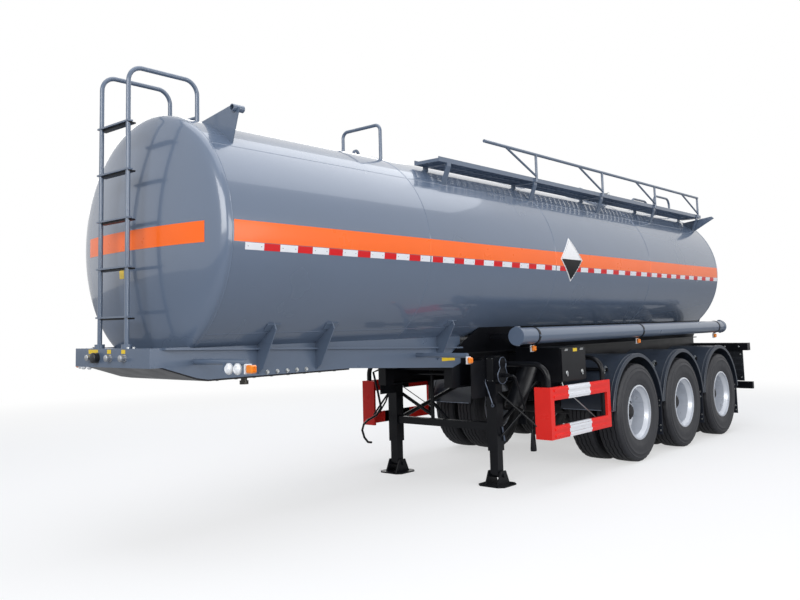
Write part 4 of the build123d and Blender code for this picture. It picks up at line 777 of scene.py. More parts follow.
    def weld_lines(self) -> None:
        """Runs the lengthwise weld beads of the shell and of the doubler on its lower front half."""
        beads = Shape()
        shares = [k / 2 - 1 for k in range(5)]
        for angle, front, rear in self.weld_runs:
            rows = []
            for i in range(self.weld_steps + 1):
                x = rear + (front - rear) * i / self.weld_steps
                row = []
                for share in shares:
                    reach = self.radius + self.weld_height * (1 - share ** 2)
                    bend = math.radians(angle) + share * self.weld_half / self.radius
                    row.append((from_axle(x), reach * math.sin(bend), self.centre_z + reach * math.cos(bend)))
                rows.append(row)
            beads.sheet(rows)
        beads.make("shell_weld_beads", [Finishes.tank_enamel], CHASSIS, closed=False)

    def build(self) -> None:
        """Builds everything that lies on the tank."""
        for side in Side:
            self.side_stripe(side)
            self.tape(side)
        self.head_stripe()
        self.placard()
        self.weld_lines()


@dataclass
class Tyre:
    """A ribbed truck tyre with four zigzag grooves and notched shoulders."""

    radius: float = 0.5425
    width: float = 0.29
    bead_radius: float = 0.291
    flange_radius: float = 0.302
    groove_depth: float = 0.013
    groove_width: float = 0.011
    groove_places: tuple[float, ...] = (-0.075, -0.026, 0.026, 0.075)
    zigzag: float = 0.0035
    steps: int = 120

    def section(self, step: int) -> list[tuple[float, float]]:
        """The section at one step round the tyre, from the inner bead to the outer.

        Args:
            step: the step's number.

        Returns:
            Pairs of distance across and radius.
        """
        half = self.width / 2
        wave = (1 if step % 4 < 2 else -1) * self.zigzag
        notch = 0.006 if step % 3 == 0 else 0.0
        wall = [(half - 0.037, self.bead_radius), (half - 0.023, self.flange_radius),
                (half - 0.012, self.flange_radius + 0.012), (half - 0.0065, 0.335), (half - 0.0055, 0.345),
                (half - 0.0025, 0.352), (half - 0.0008, 0.385), (half, 0.42), (half - 0.0018, 0.448),
                (half - 0.0005, 0.452), (half - 0.0005, 0.458), (half - 0.003, 0.462), (half - 0.0078, 0.486),
                (half - 0.0065, 0.49), (half - 0.0065, 0.496), (half - 0.0115, 0.5), (half - 0.016, 0.514),
                (half - 0.022 - notch * 0.5, 0.526), (half - 0.031, 0.5355 - notch), (half - 0.042, 0.5385 - notch)]
        line = [(-y, r) for y, r in wall]
        crown = half - 0.042
        for place in self.groove_places:
            mid = place + wave
            out = self.crown(place)
            line += [(mid - self.groove_width / 2, out), (mid - self.groove_width / 4, out - self.groove_depth),
                     (mid + self.groove_width / 4, out - self.groove_depth), (mid + self.groove_width / 2, out)]
        line += [(y, r) for y, r in reversed(wall)]
        return [(y, min(r, self.crown(y) if abs(y) < crown else self.radius)) for y, r in line]

    def crown(self, across: float) -> float:
        """The radius of the tread at a distance across it."""
        return self.radius - 0.004 * (across / (self.width / 2 - 0.042)) ** 2

    def add_to(self, shape: Shape, centre: Vector) -> None:
        """Adds the tyre to a shape, turned about Y through a point.

        Args:
            shape: the shape that takes it.
            centre: the tyre's centre.
        """
        rows = []
        for step in range(self.steps):
            angle = math.tau * step / self.steps
            rows.append([centre + Vector((r * math.sin(angle), y, r * math.cos(angle)))
                         for y, r in self.section(step)])
        shape.sheet(rows, wrap=True)


@dataclass
class WheelDress:
    """Tyres, nuts, valve and hub cover of one twin wheel."""

    number: int
    side: Side
    tyre: Tyre = field(default_factory=Tyre)
    nut_count: int = 10
    nut_circle: float = 0.1675
    nut_across: float = 0.033
    nut_height: float = 0.028
    disc_thickness: float = 0.014
    stud_radius: float = 0.011
    hub_face: float = 0.1725
    cap_bolt_circle: float = 0.079

    @property
    def body(self) -> str:
        """The body that everything here rides on."""
        return f"wheel_{self.number}_{self.side.word}"

    def build(self) -> None:
        """Builds the dress of the wheel."""
        low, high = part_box(f"{self.body}_tyres")
        middle = (low + high) / 2
        half = self.tyre.width / 2
        tyres = Shape()
        for y in (low.y + half, high.y - half):
            self.tyre.add_to(tyres, Vector((middle.x, y, middle.z)))
        piece = tyres.make(f"{self.body}_treaded_tyres", [Finishes.tyre_rubber], self.body, crease=24.0)
        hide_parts(f"{self.body}_tyres")
        out = Vector((0, self.side.value, 0))
        self.nuts(middle, out)
        self.hub_cover(middle, out)

    def nuts(self, middle: Vector, out: Vector) -> None:
        """Puts the wheel nuts with their stud ends on the disc, and the valve beside them.

        Args:
            middle: the twin wheel's centre.
            out: the way that its outer face looks.
        """
        nuts = Shape()
        top, stud = self.nut_height, self.stud_radius
        for along, up in circle(self.nut_count, self.nut_circle):
            base = middle + out * self.disc_thickness + Vector((along, 0, up))
            nuts.bolt(base, out, self.nut_across, self.nut_height)
            nuts.lathe([(top - 0.002, 0.0), (top - 0.002, stud), (top + 0.012, stud), (top + 0.014, stud - 0.002),
                        (top + 0.014, 0.0)], base, out, 10)
        foot = middle + out * 0.07 + Vector((0.19, 0, 0.12))
        nuts.tube([foot, foot + out * 0.03 + Vector((0.01, 0, 0.01)), foot + out * 0.075 + Vector((0.012, 0, 0.012))],
                  0.0045, 8)
        nuts.make(f"{self.body}_nuts", [Finishes.zinc], self.body)

    def hub_cover(self, middle: Vector, out: Vector) -> None:
        """Turns the dark hub face and its bolted cap over the end of the hub.

        Args:
            middle: the twin wheel's centre.
            out: the way that its outer face looks.
        """
        cover = Shape()
        start = self.hub_face
        cover.lathe([(start, 0.0), (start, 0.088), (start + 0.004, 0.09), (start + 0.008, 0.088), (start + 0.01, 0.07),
                     (start + 0.026, 0.064), (start + 0.034, 0.05), (start + 0.036, 0.0)], middle, out, 40)
        for along, up in circle(6, self.cap_bolt_circle, math.tau / 12):
            cover.bolt(middle + out * (start + 0.0085) + Vector((along, 0, up)), out, 0.013, 0.008)
        cover.make(f"{self.body}_hub_cover", [Finishes.cast_iron], self.body)


@dataclass
class MarkerLamps:
    """Amber side lamps, white front lamps and red tail lamps, each a base with a ribbed lens."""

    base_depth: float = 0.014
    rim: float = 0.006
    rib_count: int = 5
    rib_depth: float = 0.004
    rib_margin: float = 0.006
    round_shift: float = 0.06
    arm_shift: float = 0.03
    front_lamps_x: float = 4.3
    round_lamp_depth: float = 0.035

    def lens_block(self, shape: Shape, low: Vector, high: Vector, axis: int, out: int) -> None:
        """Adds a square lamp in a box: a base against its seat and a ribbed lens on it.

        Args:
            shape: the shape that takes it.
            low: the box's lowest corner.
            high: its highest corner.
            axis: the axis that the lens looks along.
            out: the sign of that look.
        """
        seat, face = (0, 1) if out > 0 else (1, 0)
        base = [Vector(low), Vector(high)]
        lens = [Vector(low), Vector(high)]
        lens[seat][axis] += out * self.base_depth
        base[face][axis] = lens[seat][axis]
        shape.tag = 0
        shape.block(*base, 0.004)
        shape.tag = 1
        run, rise = [k for k in range(3) if k != axis]
        for k in (run, rise):
            lens[0][k] += self.rim
            lens[1][k] -= self.rim
        front = lens[face][axis]
        core = [Vector(corner) for corner in lens]
        core[face][axis] = front - out * self.rib_depth
        shape.block(*core, 0.008)
        start = lens[0][run] + self.rib_margin
        pitch = (lens[1][run] - lens[0][run] - 2 * self.rib_margin) / self.rib_count
        for i in range(self.rib_count):
            rib = [Vector(corner) for corner in lens]
            rib[0][run] = start + pitch * (i + 0.18)
            rib[1][run] = start + pitch * (i + 0.82)
            rib[0][rise] += 0.007
            rib[1][rise] -= 0.007
            rib[seat][axis] = front - out * 2 * self.rib_depth
            shape.block(*rib, 0.003)

    def solids(self, node: str) -> list[tuple[Vector, Vector]]:
        """The boxes of a node's loose solids.

        Args:
            node: the CAD node.

        Returns:
            The lowest and highest corner of each solid.
        """
        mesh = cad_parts[node].data
        work = bmesh.new()
        work.from_mesh(mesh)
        bmesh.ops.remove_doubles(work, verts=work.verts, dist=1e-5)
        left = set(work.verts)
        found = []
        while left:
            stack = [left.pop()]
            points = []
            while stack:
                vert = stack.pop()
                points.append(vert.co.copy())
                for edge in vert.link_edges:
                    other = edge.other_vert(vert)
                    if other in left:
                        left.remove(other)
                        stack.append(other)
            found.append((Vector([min(p[k] for p in points) for k in range(3)]),
                          Vector([max(p[k] for p in points) for k in range(3)])))
        work.free()
        return found

    def round_lamp(self, shape: Shape, low: Vector, high: Vector, side: int) -> None:
        """Adds a round front lamp in a box: a white base and a stepped clear lens.

        Args:
            shape: the shape that takes it.
            low: the box's lowest corner.
            high: its highest corner.
            side: the sign of Y on its side of the trailer.
        """
        size = high - low
        centre = (low + high) / 2
        centre.y += side * self.round_shift
        centre.x = low.x
        radius = size.z / 2
        shape.tag = 0
        shape.lathe([(0.0, 0.0), (0.0, radius), (0.011, radius), (0.013, radius - 0.003), (0.013, 0.0)],
                    centre, (1, 0, 0), 36)
        shape.tag = 1
        shape.lathe([(0.012, 0.0), (0.012, radius - 0.004), (0.018, radius - 0.006), (0.023, radius * 0.7),
                     (size.x - 0.001, radius * 0.62), (0.0235, radius * 0.5), (size.x - 0.0005, radius * 0.4),
                     (0.024, radius * 0.28), (size.x, radius * 0.15), (size.x, 0.0)], centre, (1, 0, 0), 36)

    def markers(self) -> None:
        """Replaces the side and front lamps by finished ones."""
        amber = Shape()
        clear = Shape()
        for low, high in self.solids("marker_lamps"):
            side = 1 if (low + high).y > 0 else -1
            if (high - low).x < self.round_lamp_depth:
                self.round_lamp(clear, low, high, side)
                continue
            if low.x > self.front_lamps_x:
                outer = high if side > 0 else low
                outer.y += side * self.arm_shift
            self.lens_block(amber, low, high, 1, side)
        piece = amber.make("marker_lamps_dressed", [Finishes.lamp_base, Finishes.lens_amber], CHASSIS)
        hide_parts("marker_lamps")
        clear.make("front_lamps_dressed", [Finishes.lamp_base, Finishes.lens_clear], CHASSIS)

    def tails(self) -> None:
        """Replaces the tail lamps by black rings with a red lens of moulded circles."""
        tail = Shape()
        for low, high in self.solids("tail_lamps"):
            centre = (low + high) / 2
            centre.x = high.x
            radius = (high.z - low.z) / 2
            depth = high.x - low.x
            tail.tag = 0
            tail.lathe([(0.0, 0.0), (0.0, radius), (depth * 0.5, radius), (depth * 0.6, radius - 0.005),
                        (depth * 0.6, 0.0)], centre, (-1, 0, 0), 40)
            tail.tag = 1
            rings = [(depth * 0.55, 0.0), (depth * 0.55, radius - 0.006), (depth * 0.8, radius - 0.008)]
            rings += [(depth * (0.99 if i % 2 else 0.93), (radius - 0.012) * (1 - i / 6)) for i in range(6)]
            tail.lathe(rings + [(depth * 0.99, 0.0)], centre, (-1, 0, 0), 40)
        piece = tail.make("tail_lamps_dressed", [Finishes.black_nylon, Finishes.lens_red], CHASSIS)
        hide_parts("tail_lamps")

    def build(self) -> None:
        """Builds all lamps."""
        self.markers()
        self.tails()


@dataclass
class GuardBands:
    """White painted bands on the middle of the red side guards."""

    band_front: float = 0.28
    band_rear: float = 0.64
    bar: float = 0.125
    paint: float = 0.0008
    back_y: float = 1.188
    face_y: float = 1.216
    rib_y: float = 1.224
    rib_half: float = 0.012

    def wrap(self, top: float, sign: int) -> list[tuple[float, float]]:
        """Draws the closed outline of the paint round one bar of a guard.

        Args:
            top: the bar's upper edge.
            sign: the sign of Y on this side.

        Returns:
            Pairs of Y and Z.
        """
        face, crest = self.face_y + self.paint, self.rib_y + self.paint
        over, under = top + self.paint, top - self.bar - self.paint
        line = [(self.back_y, over), (face, over)]
        for share in (0.25, 0.75):
            rib = top - self.bar * share
            line += [(face, rib + self.rib_half), (crest, rib + self.rib_half),
                     (crest, rib - self.rib_half), (face, rib - self.rib_half)]
        line += [(face, under), (self.back_y, under)]
        return [(sign * y, z) for y, z in line + line[:1]]

    def build(self) -> None:
        """Wraps each bar of both guards with its white band."""
        for side in Side:
            low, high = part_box(f"side_guard_{side.word}")
            ends = [low.x + (high.x - low.x) * (1 - share) for share in (self.band_rear, self.band_front)]
            bands = Shape()
            for top in (high.z, low.z + self.bar):
                bands.sheet([[(x, y, z) for y, z in self.wrap(top, side.value)] for x in ends])
            bands.make(f"guard_white_bands_{side.word}", [Finishes.signal_white], CHASSIS, closed=False)


@dataclass
class FrontFittings:
    """Coupling heads, tags and bolts at the nose of the trailer."""

    coupling_ys: tuple[float, ...] = (-0.262, -0.18, 0.0, 0.185)
    coupling_z: float = 1.396
    coupling_radius: float = 0.024
    socket: int = 1
    socket_radius: float = 0.038
    web_y: float = 0.487
    tag_thick: float = 0.0015
    tag_chamfer: float = 0.0004
    beam_tags: tuple[tuple[float, float, float], ...] = (
        (-0.235, 0.13, 0.03), (-0.02, 0.05, 0.028), (0.165, 0.05, 0.028))
    girder_bolt_z: float = 1.251
    girder_bolt_stations: tuple[float, ...] = (4.79, 4.69, 4.59, 4.49, 4.39)
    plate_bolt_y: float = 0.42
    plate_bolt_pitch: float = 0.17
    ladder_stations: tuple[float, float] = (5.762, -3.924)
    ladder_bolt_ys: tuple[float, float] = (-0.265, 0.195)
    ladder_bolt_half: float = 0.0225
    rear_beam_top: float = 1.19

    def heads(self) -> None:
        """Turns the three air coupling heads and the black electric socket."""
        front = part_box("front_beam")[1].x
        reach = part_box("front_couplings")[1].x - front
        forward = (1, 0, 0)
        heads = Shape()
        for i, y in enumerate(self.coupling_ys):
            heads.tag = int(i == self.socket)
            wide = self.socket_radius if heads.tag else self.coupling_radius
            base = Vector((front, y, self.coupling_z))
            heads.lathe([(0.0, 0.0), (0.0, wide), (0.004, wide), (0.006, wide * 0.8), (reach * 0.45, wide * 0.78),
                         (reach * 0.47, wide * 0.96), (reach * 0.8, wide * 0.98), (reach * 0.9, wide * 0.86),
                         (reach * 0.96, wide * 0.6), (reach * 0.96, 0.0)], base, forward, 28)
            for across, up in circle(4, wide * 0.9, math.tau / 8):
                heads.bolt(base + Vector((0.004, across, up)), forward, 0.008, 0.005)
        piece = heads.make("coupling_heads", [Finishes.cast_aluminium, Finishes.black_nylon], CHASSIS)
        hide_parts("front_couplings")

    def tags(self) -> None:
        """Fixes the bare yellow tags above the couplings and on the girder, the toolbox and the front head."""
        tags = Shape()
        thick, chamfer = self.tag_thick, self.tag_chamfer
        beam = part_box("front_beam")[1]
        top = beam.z - 0.008
        for y, wide, tall in self.beam_tags:
            tags.block((beam.x, y - wide / 2, top - tall), (beam.x + thick, y + wide / 2, top), chamfer)
        tags.block((from_axle(2.425), self.web_y, 1.226), (from_axle(2.63), self.web_y + thick, 1.262), chamfer)
        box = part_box("toolbox")[1]
        tags.block((box.x - 0.33, box.y, box.z - 0.045), (box.x - 0.245, box.y + thick, box.z - 0.012), chamfer)
        livery = TankLivery()
        tags.sheet([[livery.on_head(y, z) for z in (1.965, 1.995, 2.025)] for y in (-0.205, -0.172, -0.14)])
        tags.make("yellow_tags", [Finishes.tag_yellow], CHASSIS, closed=False)

    def bolts(self) -> None:
        """Puts the bolts on the girders, under the coupler plate and beside the ladder feet."""
        bolts = Shape()
        for side in Side:
            for station in self.girder_bolt_stations:
                bolts.bolt((from_axle(station), side.value * self.web_y, self.girder_bolt_z), (0, side.value, 0),
                           0.024, 0.014)
        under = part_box("coupler_plate")[0].z
        for side in Side:
            for i in range(8):
                bolts.bolt((from_axle(5.2) - i * self.plate_bolt_pitch, side.value * self.plate_bolt_y, under),
                           (0, 0, -1), 0.022, 0.008)
        for station, top in zip(self.ladder_stations, (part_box("front_beam")[1].z, self.rear_beam_top)):
            for y in self.ladder_bolt_ys:
                for step in (-self.ladder_bolt_half, self.ladder_bolt_half):
                    bolts.bolt((from_axle(station) + step, y, top), (0, 0, 1), 0.016, 0.01)
        bolts.make("chassis_bolts", [Finishes.zinc], CHASSIS)

    def build(self) -> None:
        """Builds the nose fittings."""
        self.heads()
        self.tags()
        self.bolts()


@dataclass
class WalkwayGrating:
    """Serrated cross bars and lengthwise wires that close the walkway's frame."""

    bar_pitch: float = 0.0367
    bar_thick: float = 0.004
    deck_bar_every: int = 3
    wire_count: int = 6
    wire_half: float = 0.003
    depth: float = 0.02
    sunk: float = 0.016
    end_gap: float = 0.005

    def build(self) -> None:
        """Lays the grating between the edge bars of the deck and leaves out the deck's own cross bars."""
        low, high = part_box("walkway_deck")
        top = high.z - self.sunk
        half, gap = self.bar_thick / 2, self.end_gap
        grating = Shape()
        count = int((high.x - low.x) / self.bar_pitch)
        for i in range(1, count):
            if i % self.deck_bar_every == 0:
                continue
            x = low.x + i * (high.x - low.x) / count
            grating.block((x - half, low.y + gap, top - self.depth), (x + half, high.y - gap, top - 0.001), 0.0008)
        for i in range(1, self.wire_count + 1):
            y = low.y + (high.y - low.y) * i / (self.wire_count + 1)
            grating.block((low.x + gap, y - self.wire_half, top - 0.008),
                          (high.x - gap, y + self.wire_half, top + 0.0005), 0.001)
        grating.make("walkway_grating", [Finishes.frame_enamel], CHASSIS)


@dataclass
class MudguardTrim:
    """Raised lips, light end tubes that paint the highlight of the lower ends, and tube clamps on the mudguards."""

    wheel_z: float = 0.5425
    radius: float = 0.648
    end_z: float = 0.61
    outer: float = 1.245
    inner: float = 0.64
    beads: tuple[tuple[float, float, float], ...] = ((0.012, 0.0, 0.0075), (0.055, -0.0005, 0.0065))
    bead_steps: int = 40
    clamp_angle: float = 48.0
    clamp_ys: tuple[float, float] = (0.72, 1.06)
    clamp_half: float = 0.02
    tube_radius: float = 0.019

    def lips(self) -> None:
        """Runs the double bead round the outer edge of each mudguard and a light tube along its lower ends, a painted
        highlight.
        """
        start = math.asin((self.end_z - self.wheel_z) / self.radius) + 0.004
        for side in Side:
            lips = Shape()
            for number in AXLES:
                x_mid = axle_x(number, side)
                for offset, lift, thick in self.beads:
                    reach = self.radius + lift
                    turns = [start + (math.pi - 2 * start) * i / self.bead_steps for i in range(self.bead_steps + 1)]
                    lips.tube([(x_mid + reach * math.cos(turn), side.value * (self.outer - offset),
                                self.wheel_z + reach * math.sin(turn)) for turn in turns], thick, 10)
                # tag 1: light grey tubes whose colour paints the highlight on the lower ends
                lips.tag = 1
                for end in (start, math.pi - start):
                    x, z = x_mid + self.radius * math.cos(end), self.wheel_z + self.radius * math.sin(end)
                    lips.tube([(x, side.value * y, z) for y in (self.outer - 0.006, self.inner)], 0.005, 8)
                lips.tag = 0
            lips.make(f"mudguard_beads_{side.word}", [Finishes.guard_plastic, Finishes.guard_end_highlight], CHASSIS)

    def clamp(self, shape: Shape, centre: Vector, out: Vector, y: float) -> None:
        """Adds one clamp: a strap half round the tube and a bolt at each end of it.

        Args:
            shape: the shape that takes it.
            centre: the tube's centre in the plane of Y = 0.
            out: the way out from the mudguard.
            y: the clamp's middle.
        """
        along = Vector((-out.z, 0, out.x))
        strap = self.tube_radius + 0.002
        turns = [math.pi * k / 12 for k in range(13)]
        ring = [centre + (along * math.cos(turn) + out * math.sin(turn)) * strap for turn in turns]
        wide = math.copysign(self.clamp_half, y)
        shape.sheet([[point + Vector((0, y + edge, 0)) for point in ring] for edge in (-wide, wide)])
        for end in (-1, 1):
            foot = centre + along * end * (self.tube_radius + 0.016) - out * (self.tube_radius - 0.001)
            foot.y = y
            shape.bolt(foot, out, 0.022, 0.03)

    def clamps(self) -> None:
        """Straps each mudguard to its tubes with bright clamps."""
        clamps = Shape()
        reach = self.radius + self.tube_radius
        turn = math.radians(self.clamp_angle)
        for side in Side:
            for number in AXLES:
                for sign in (1, -1):
                    out = Vector((sign * math.cos(turn), 0, math.sin(turn)))
                    centre = Vector((axle_x(number, side) + reach * out.x, 0, self.wheel_z + reach * out.z))
                    for y in self.clamp_ys:
                        self.clamp(clamps, centre, out, side.value * y)
        clamps.make("mudguard_clamps", [Finishes.zinc], CHASSIS, closed=False)

    def build(self) -> None:
        """Builds lips and clamps."""
        self.lips()
        self.clamps()


@dataclass
class ChassisDress:
    """Latches, bolts, lids and rims on the toolbox, legs, hose tubes, manhole and rear end."""

    leg_y: float = 0.641
    leg_middle: float = 0.15
    foot_pin_z: float = 0.095
    foot_half: float = 0.075
    bracket_y: float = 0.5835
    gear_face: float = 0.7465
    lower_gear: tuple[float, float, float] = (0.0, 1.062, 0.075)
    upper_gear: tuple[float, float, float] = (-0.01, 1.178, 0.053)
    gear_bolt: tuple[float, float] = (0.011, 0.007)
    strap_stations: tuple[float, ...] = (1.9, -0.48, -3.02)
    strap_bolt_z: float = 1.445
    manhole_x: float = -1.39
    manhole_z: float = 3.262
    swing_circle: float = 0.331

    def toolbox(self) -> None:
        """Fits the hinges and the two latches of the toolbox."""
        low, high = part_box("toolbox")
        dress = Shape()
        face = high.y
        for x in (low.x + 0.1, high.x - 0.1):
            dress.block((x - 0.03, face - 0.003, high.z - 0.035), (x + 0.03, face + 0.006, high.z - 0.018), 0.002)
            dress.tube([(x - 0.03, face + 0.004, high.z - 0.02), (x + 0.03, face + 0.004, high.z - 0.02)], 0.006, 10)
            dress.lathe([(0.0, 0.0), (0.0, 0.022), (0.006, 0.022), (0.008, 0.018), (0.008, 0.0)],
                        (x, face - 0.001, low.z + 0.09), (0, 1, 0), 24)
            dress.block((x - 0.006, face + 0.004, low.z + 0.055), (x + 0.006, face + 0.014, low.z + 0.1), 0.003)
        dress.make("toolbox_latches", [Finishes.zinc], CHASSIS)

    def legs(self) -> None:
        """Bolts up the leg brackets and pins the feet, then dresses the gearbox."""
        dress = Shape()
        for side in Side:
            mid_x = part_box(f"landing_leg_{side.word}")[0].x + self.leg_middle
            for out in (side.value, -side.value):
                dress.bolt((mid_x, side.value * self.leg_y + out * self.foot_half, self.foot_pin_z), (0, out, 0),
                           0.03, 0.016)
            for z in (1.0, 1.06, 1.15, 1.21):
                for x in (mid_x - 0.085, mid_x + 0.1):
                    dress.bolt((x, side.value * self.bracket_y, z), (0, side.value, 0), 0.022, 0.013)
        self.gearbox(dress)
        dress.make("leg_bolts", [Finishes.chassis_enamel, Finishes.grey_steel_and_rim_highlight], CHASSIS)

    def gearbox(self, dress: Shape) -> None:
        """Adds the bolts and a light grey rim round the gearbox's cover, a large circle under a small one; the rim is
        a painted highlight of the cover's edge.

        Args:
            dress: the shape that takes them.
        """
        gear_low, gear_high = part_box("landing_gearbox")
        middle = (gear_low.x + gear_high.x) / 2
        rim = []
        for (shift, z, radius), count, start in ((self.lower_gear, 8, 0.0), (self.upper_gear, 5, -0.2)):
            for across, up in circle(8, radius, start)[:count]:
                dress.bolt((middle + shift + across, self.gear_face, z + up), (0, 1, 0), *self.gear_bolt)
        # tag 1: the rim tube, whose grey paints the highlight on the cover's edge
        dress.tag = 1
        for (shift, z, radius), turns, wider in ((self.upper_gear, range(-40, 221, 10), 0.007),
                                                 (self.lower_gear, range(160, 381, 10), 0.008)):
            for turn in turns:
                angle = math.radians(turn)
                rim.append((middle + shift + (radius + wider) * math.cos(angle), self.gear_face + 0.001,
                            z + (radius + wider) * math.sin(angle)))
        dress.tube(rim + rim[:1], 0.0045, 8)

    def hose_tubes(self) -> None:
        """Fits the end lids of the hose tubes with rim, hinge and latch."""
        dress = Shape()
        for side in Side:
            low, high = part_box(f"hose_tube_{side.word}")
            radius = (high.z - low.z) / 2
            for x, out in ((high.x, 1), (low.x, -1)):
                centre = Vector((x, (low.y + high.y) / 2, (low.z + high.z) / 2))
                dress.lathe([(-0.012, radius - 0.0005), (-0.012, radius + 0.0035), (-0.002, radius + 0.0035),
                             (-0.0005, radius - 0.004), (-0.0002, radius - 0.02), (-0.0004, 0.0)],
                            centre, (out, 0, 0), 48)
                for rise, half in ((radius + 0.004, (0.022, 0.02, 0.006)), (-radius - 0.003, (0.02, 0.012, 0.005))):
                    spot = centre + Vector((-0.03 * out, 0, rise))
                    dress.block(spot - Vector(half), spot + Vector(half), 0.003)
            outer = high.y if side is Side.LEFT else low.y
            for station in self.strap_stations:
                dress.bolt((from_axle(station), outer + side.value * 0.0005, self.strap_bolt_z), (0, side.value, 0),
                           0.014, 0.008)
        dress.make("hose_tube_lids", [Finishes.frame_enamel], CHASSIS)

    def manhole(self) -> None:
        """Fits the swing bolts with their nuts round the manhole."""
        dress = Shape()
        for across, aside in circle(6, self.swing_circle, math.radians(30)):
            foot = Vector((from_axle(self.manhole_x) + across, aside, self.manhole_z - 0.05))
            dress.tube([foot, foot + Vector((0, 0, 0.085))], 0.007, 10)
            dress.bolt(foot + Vector((0, 0, 0.072)), (0, 0, 1), 0.022, 0.016)
        dress.make("manhole_swing_bolts", [Finishes.zinc], CHASSIS)

    def rear(self) -> None:
        """Bolts the rear panels, the bumper's stays and the rear beam."""
        dress = Shape()
        forward = (1, 0, 0)
        low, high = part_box("rear_beam")
        for side in Side:
            for z in (1.02, 0.68):
                for y in (0.66, 0.88, 1.1):
                    dress.bolt((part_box("rear_panels")[1].x, side.value * y, z), forward, 0.018, 0.01)
            for y in (0.415, 0.455):
                for z in (0.7, 0.98):
                    dress.bolt((low.x + 0.06, side.value * y, z), forward, 0.02, 0.012)
        for i in range(12):
            dress.bolt((high.x, -1.1 + 0.2 * i, 1.135), forward, 0.02, 0.012)
        dress.make("rear_bolts", [Finishes.zinc], CHASSIS)

    def build(self) -> None:
        """Builds the chassis's fittings in order."""
        self.toolbox()
        self.legs()
        self.hose_tubes()
        self.manhole()
        self.rear()


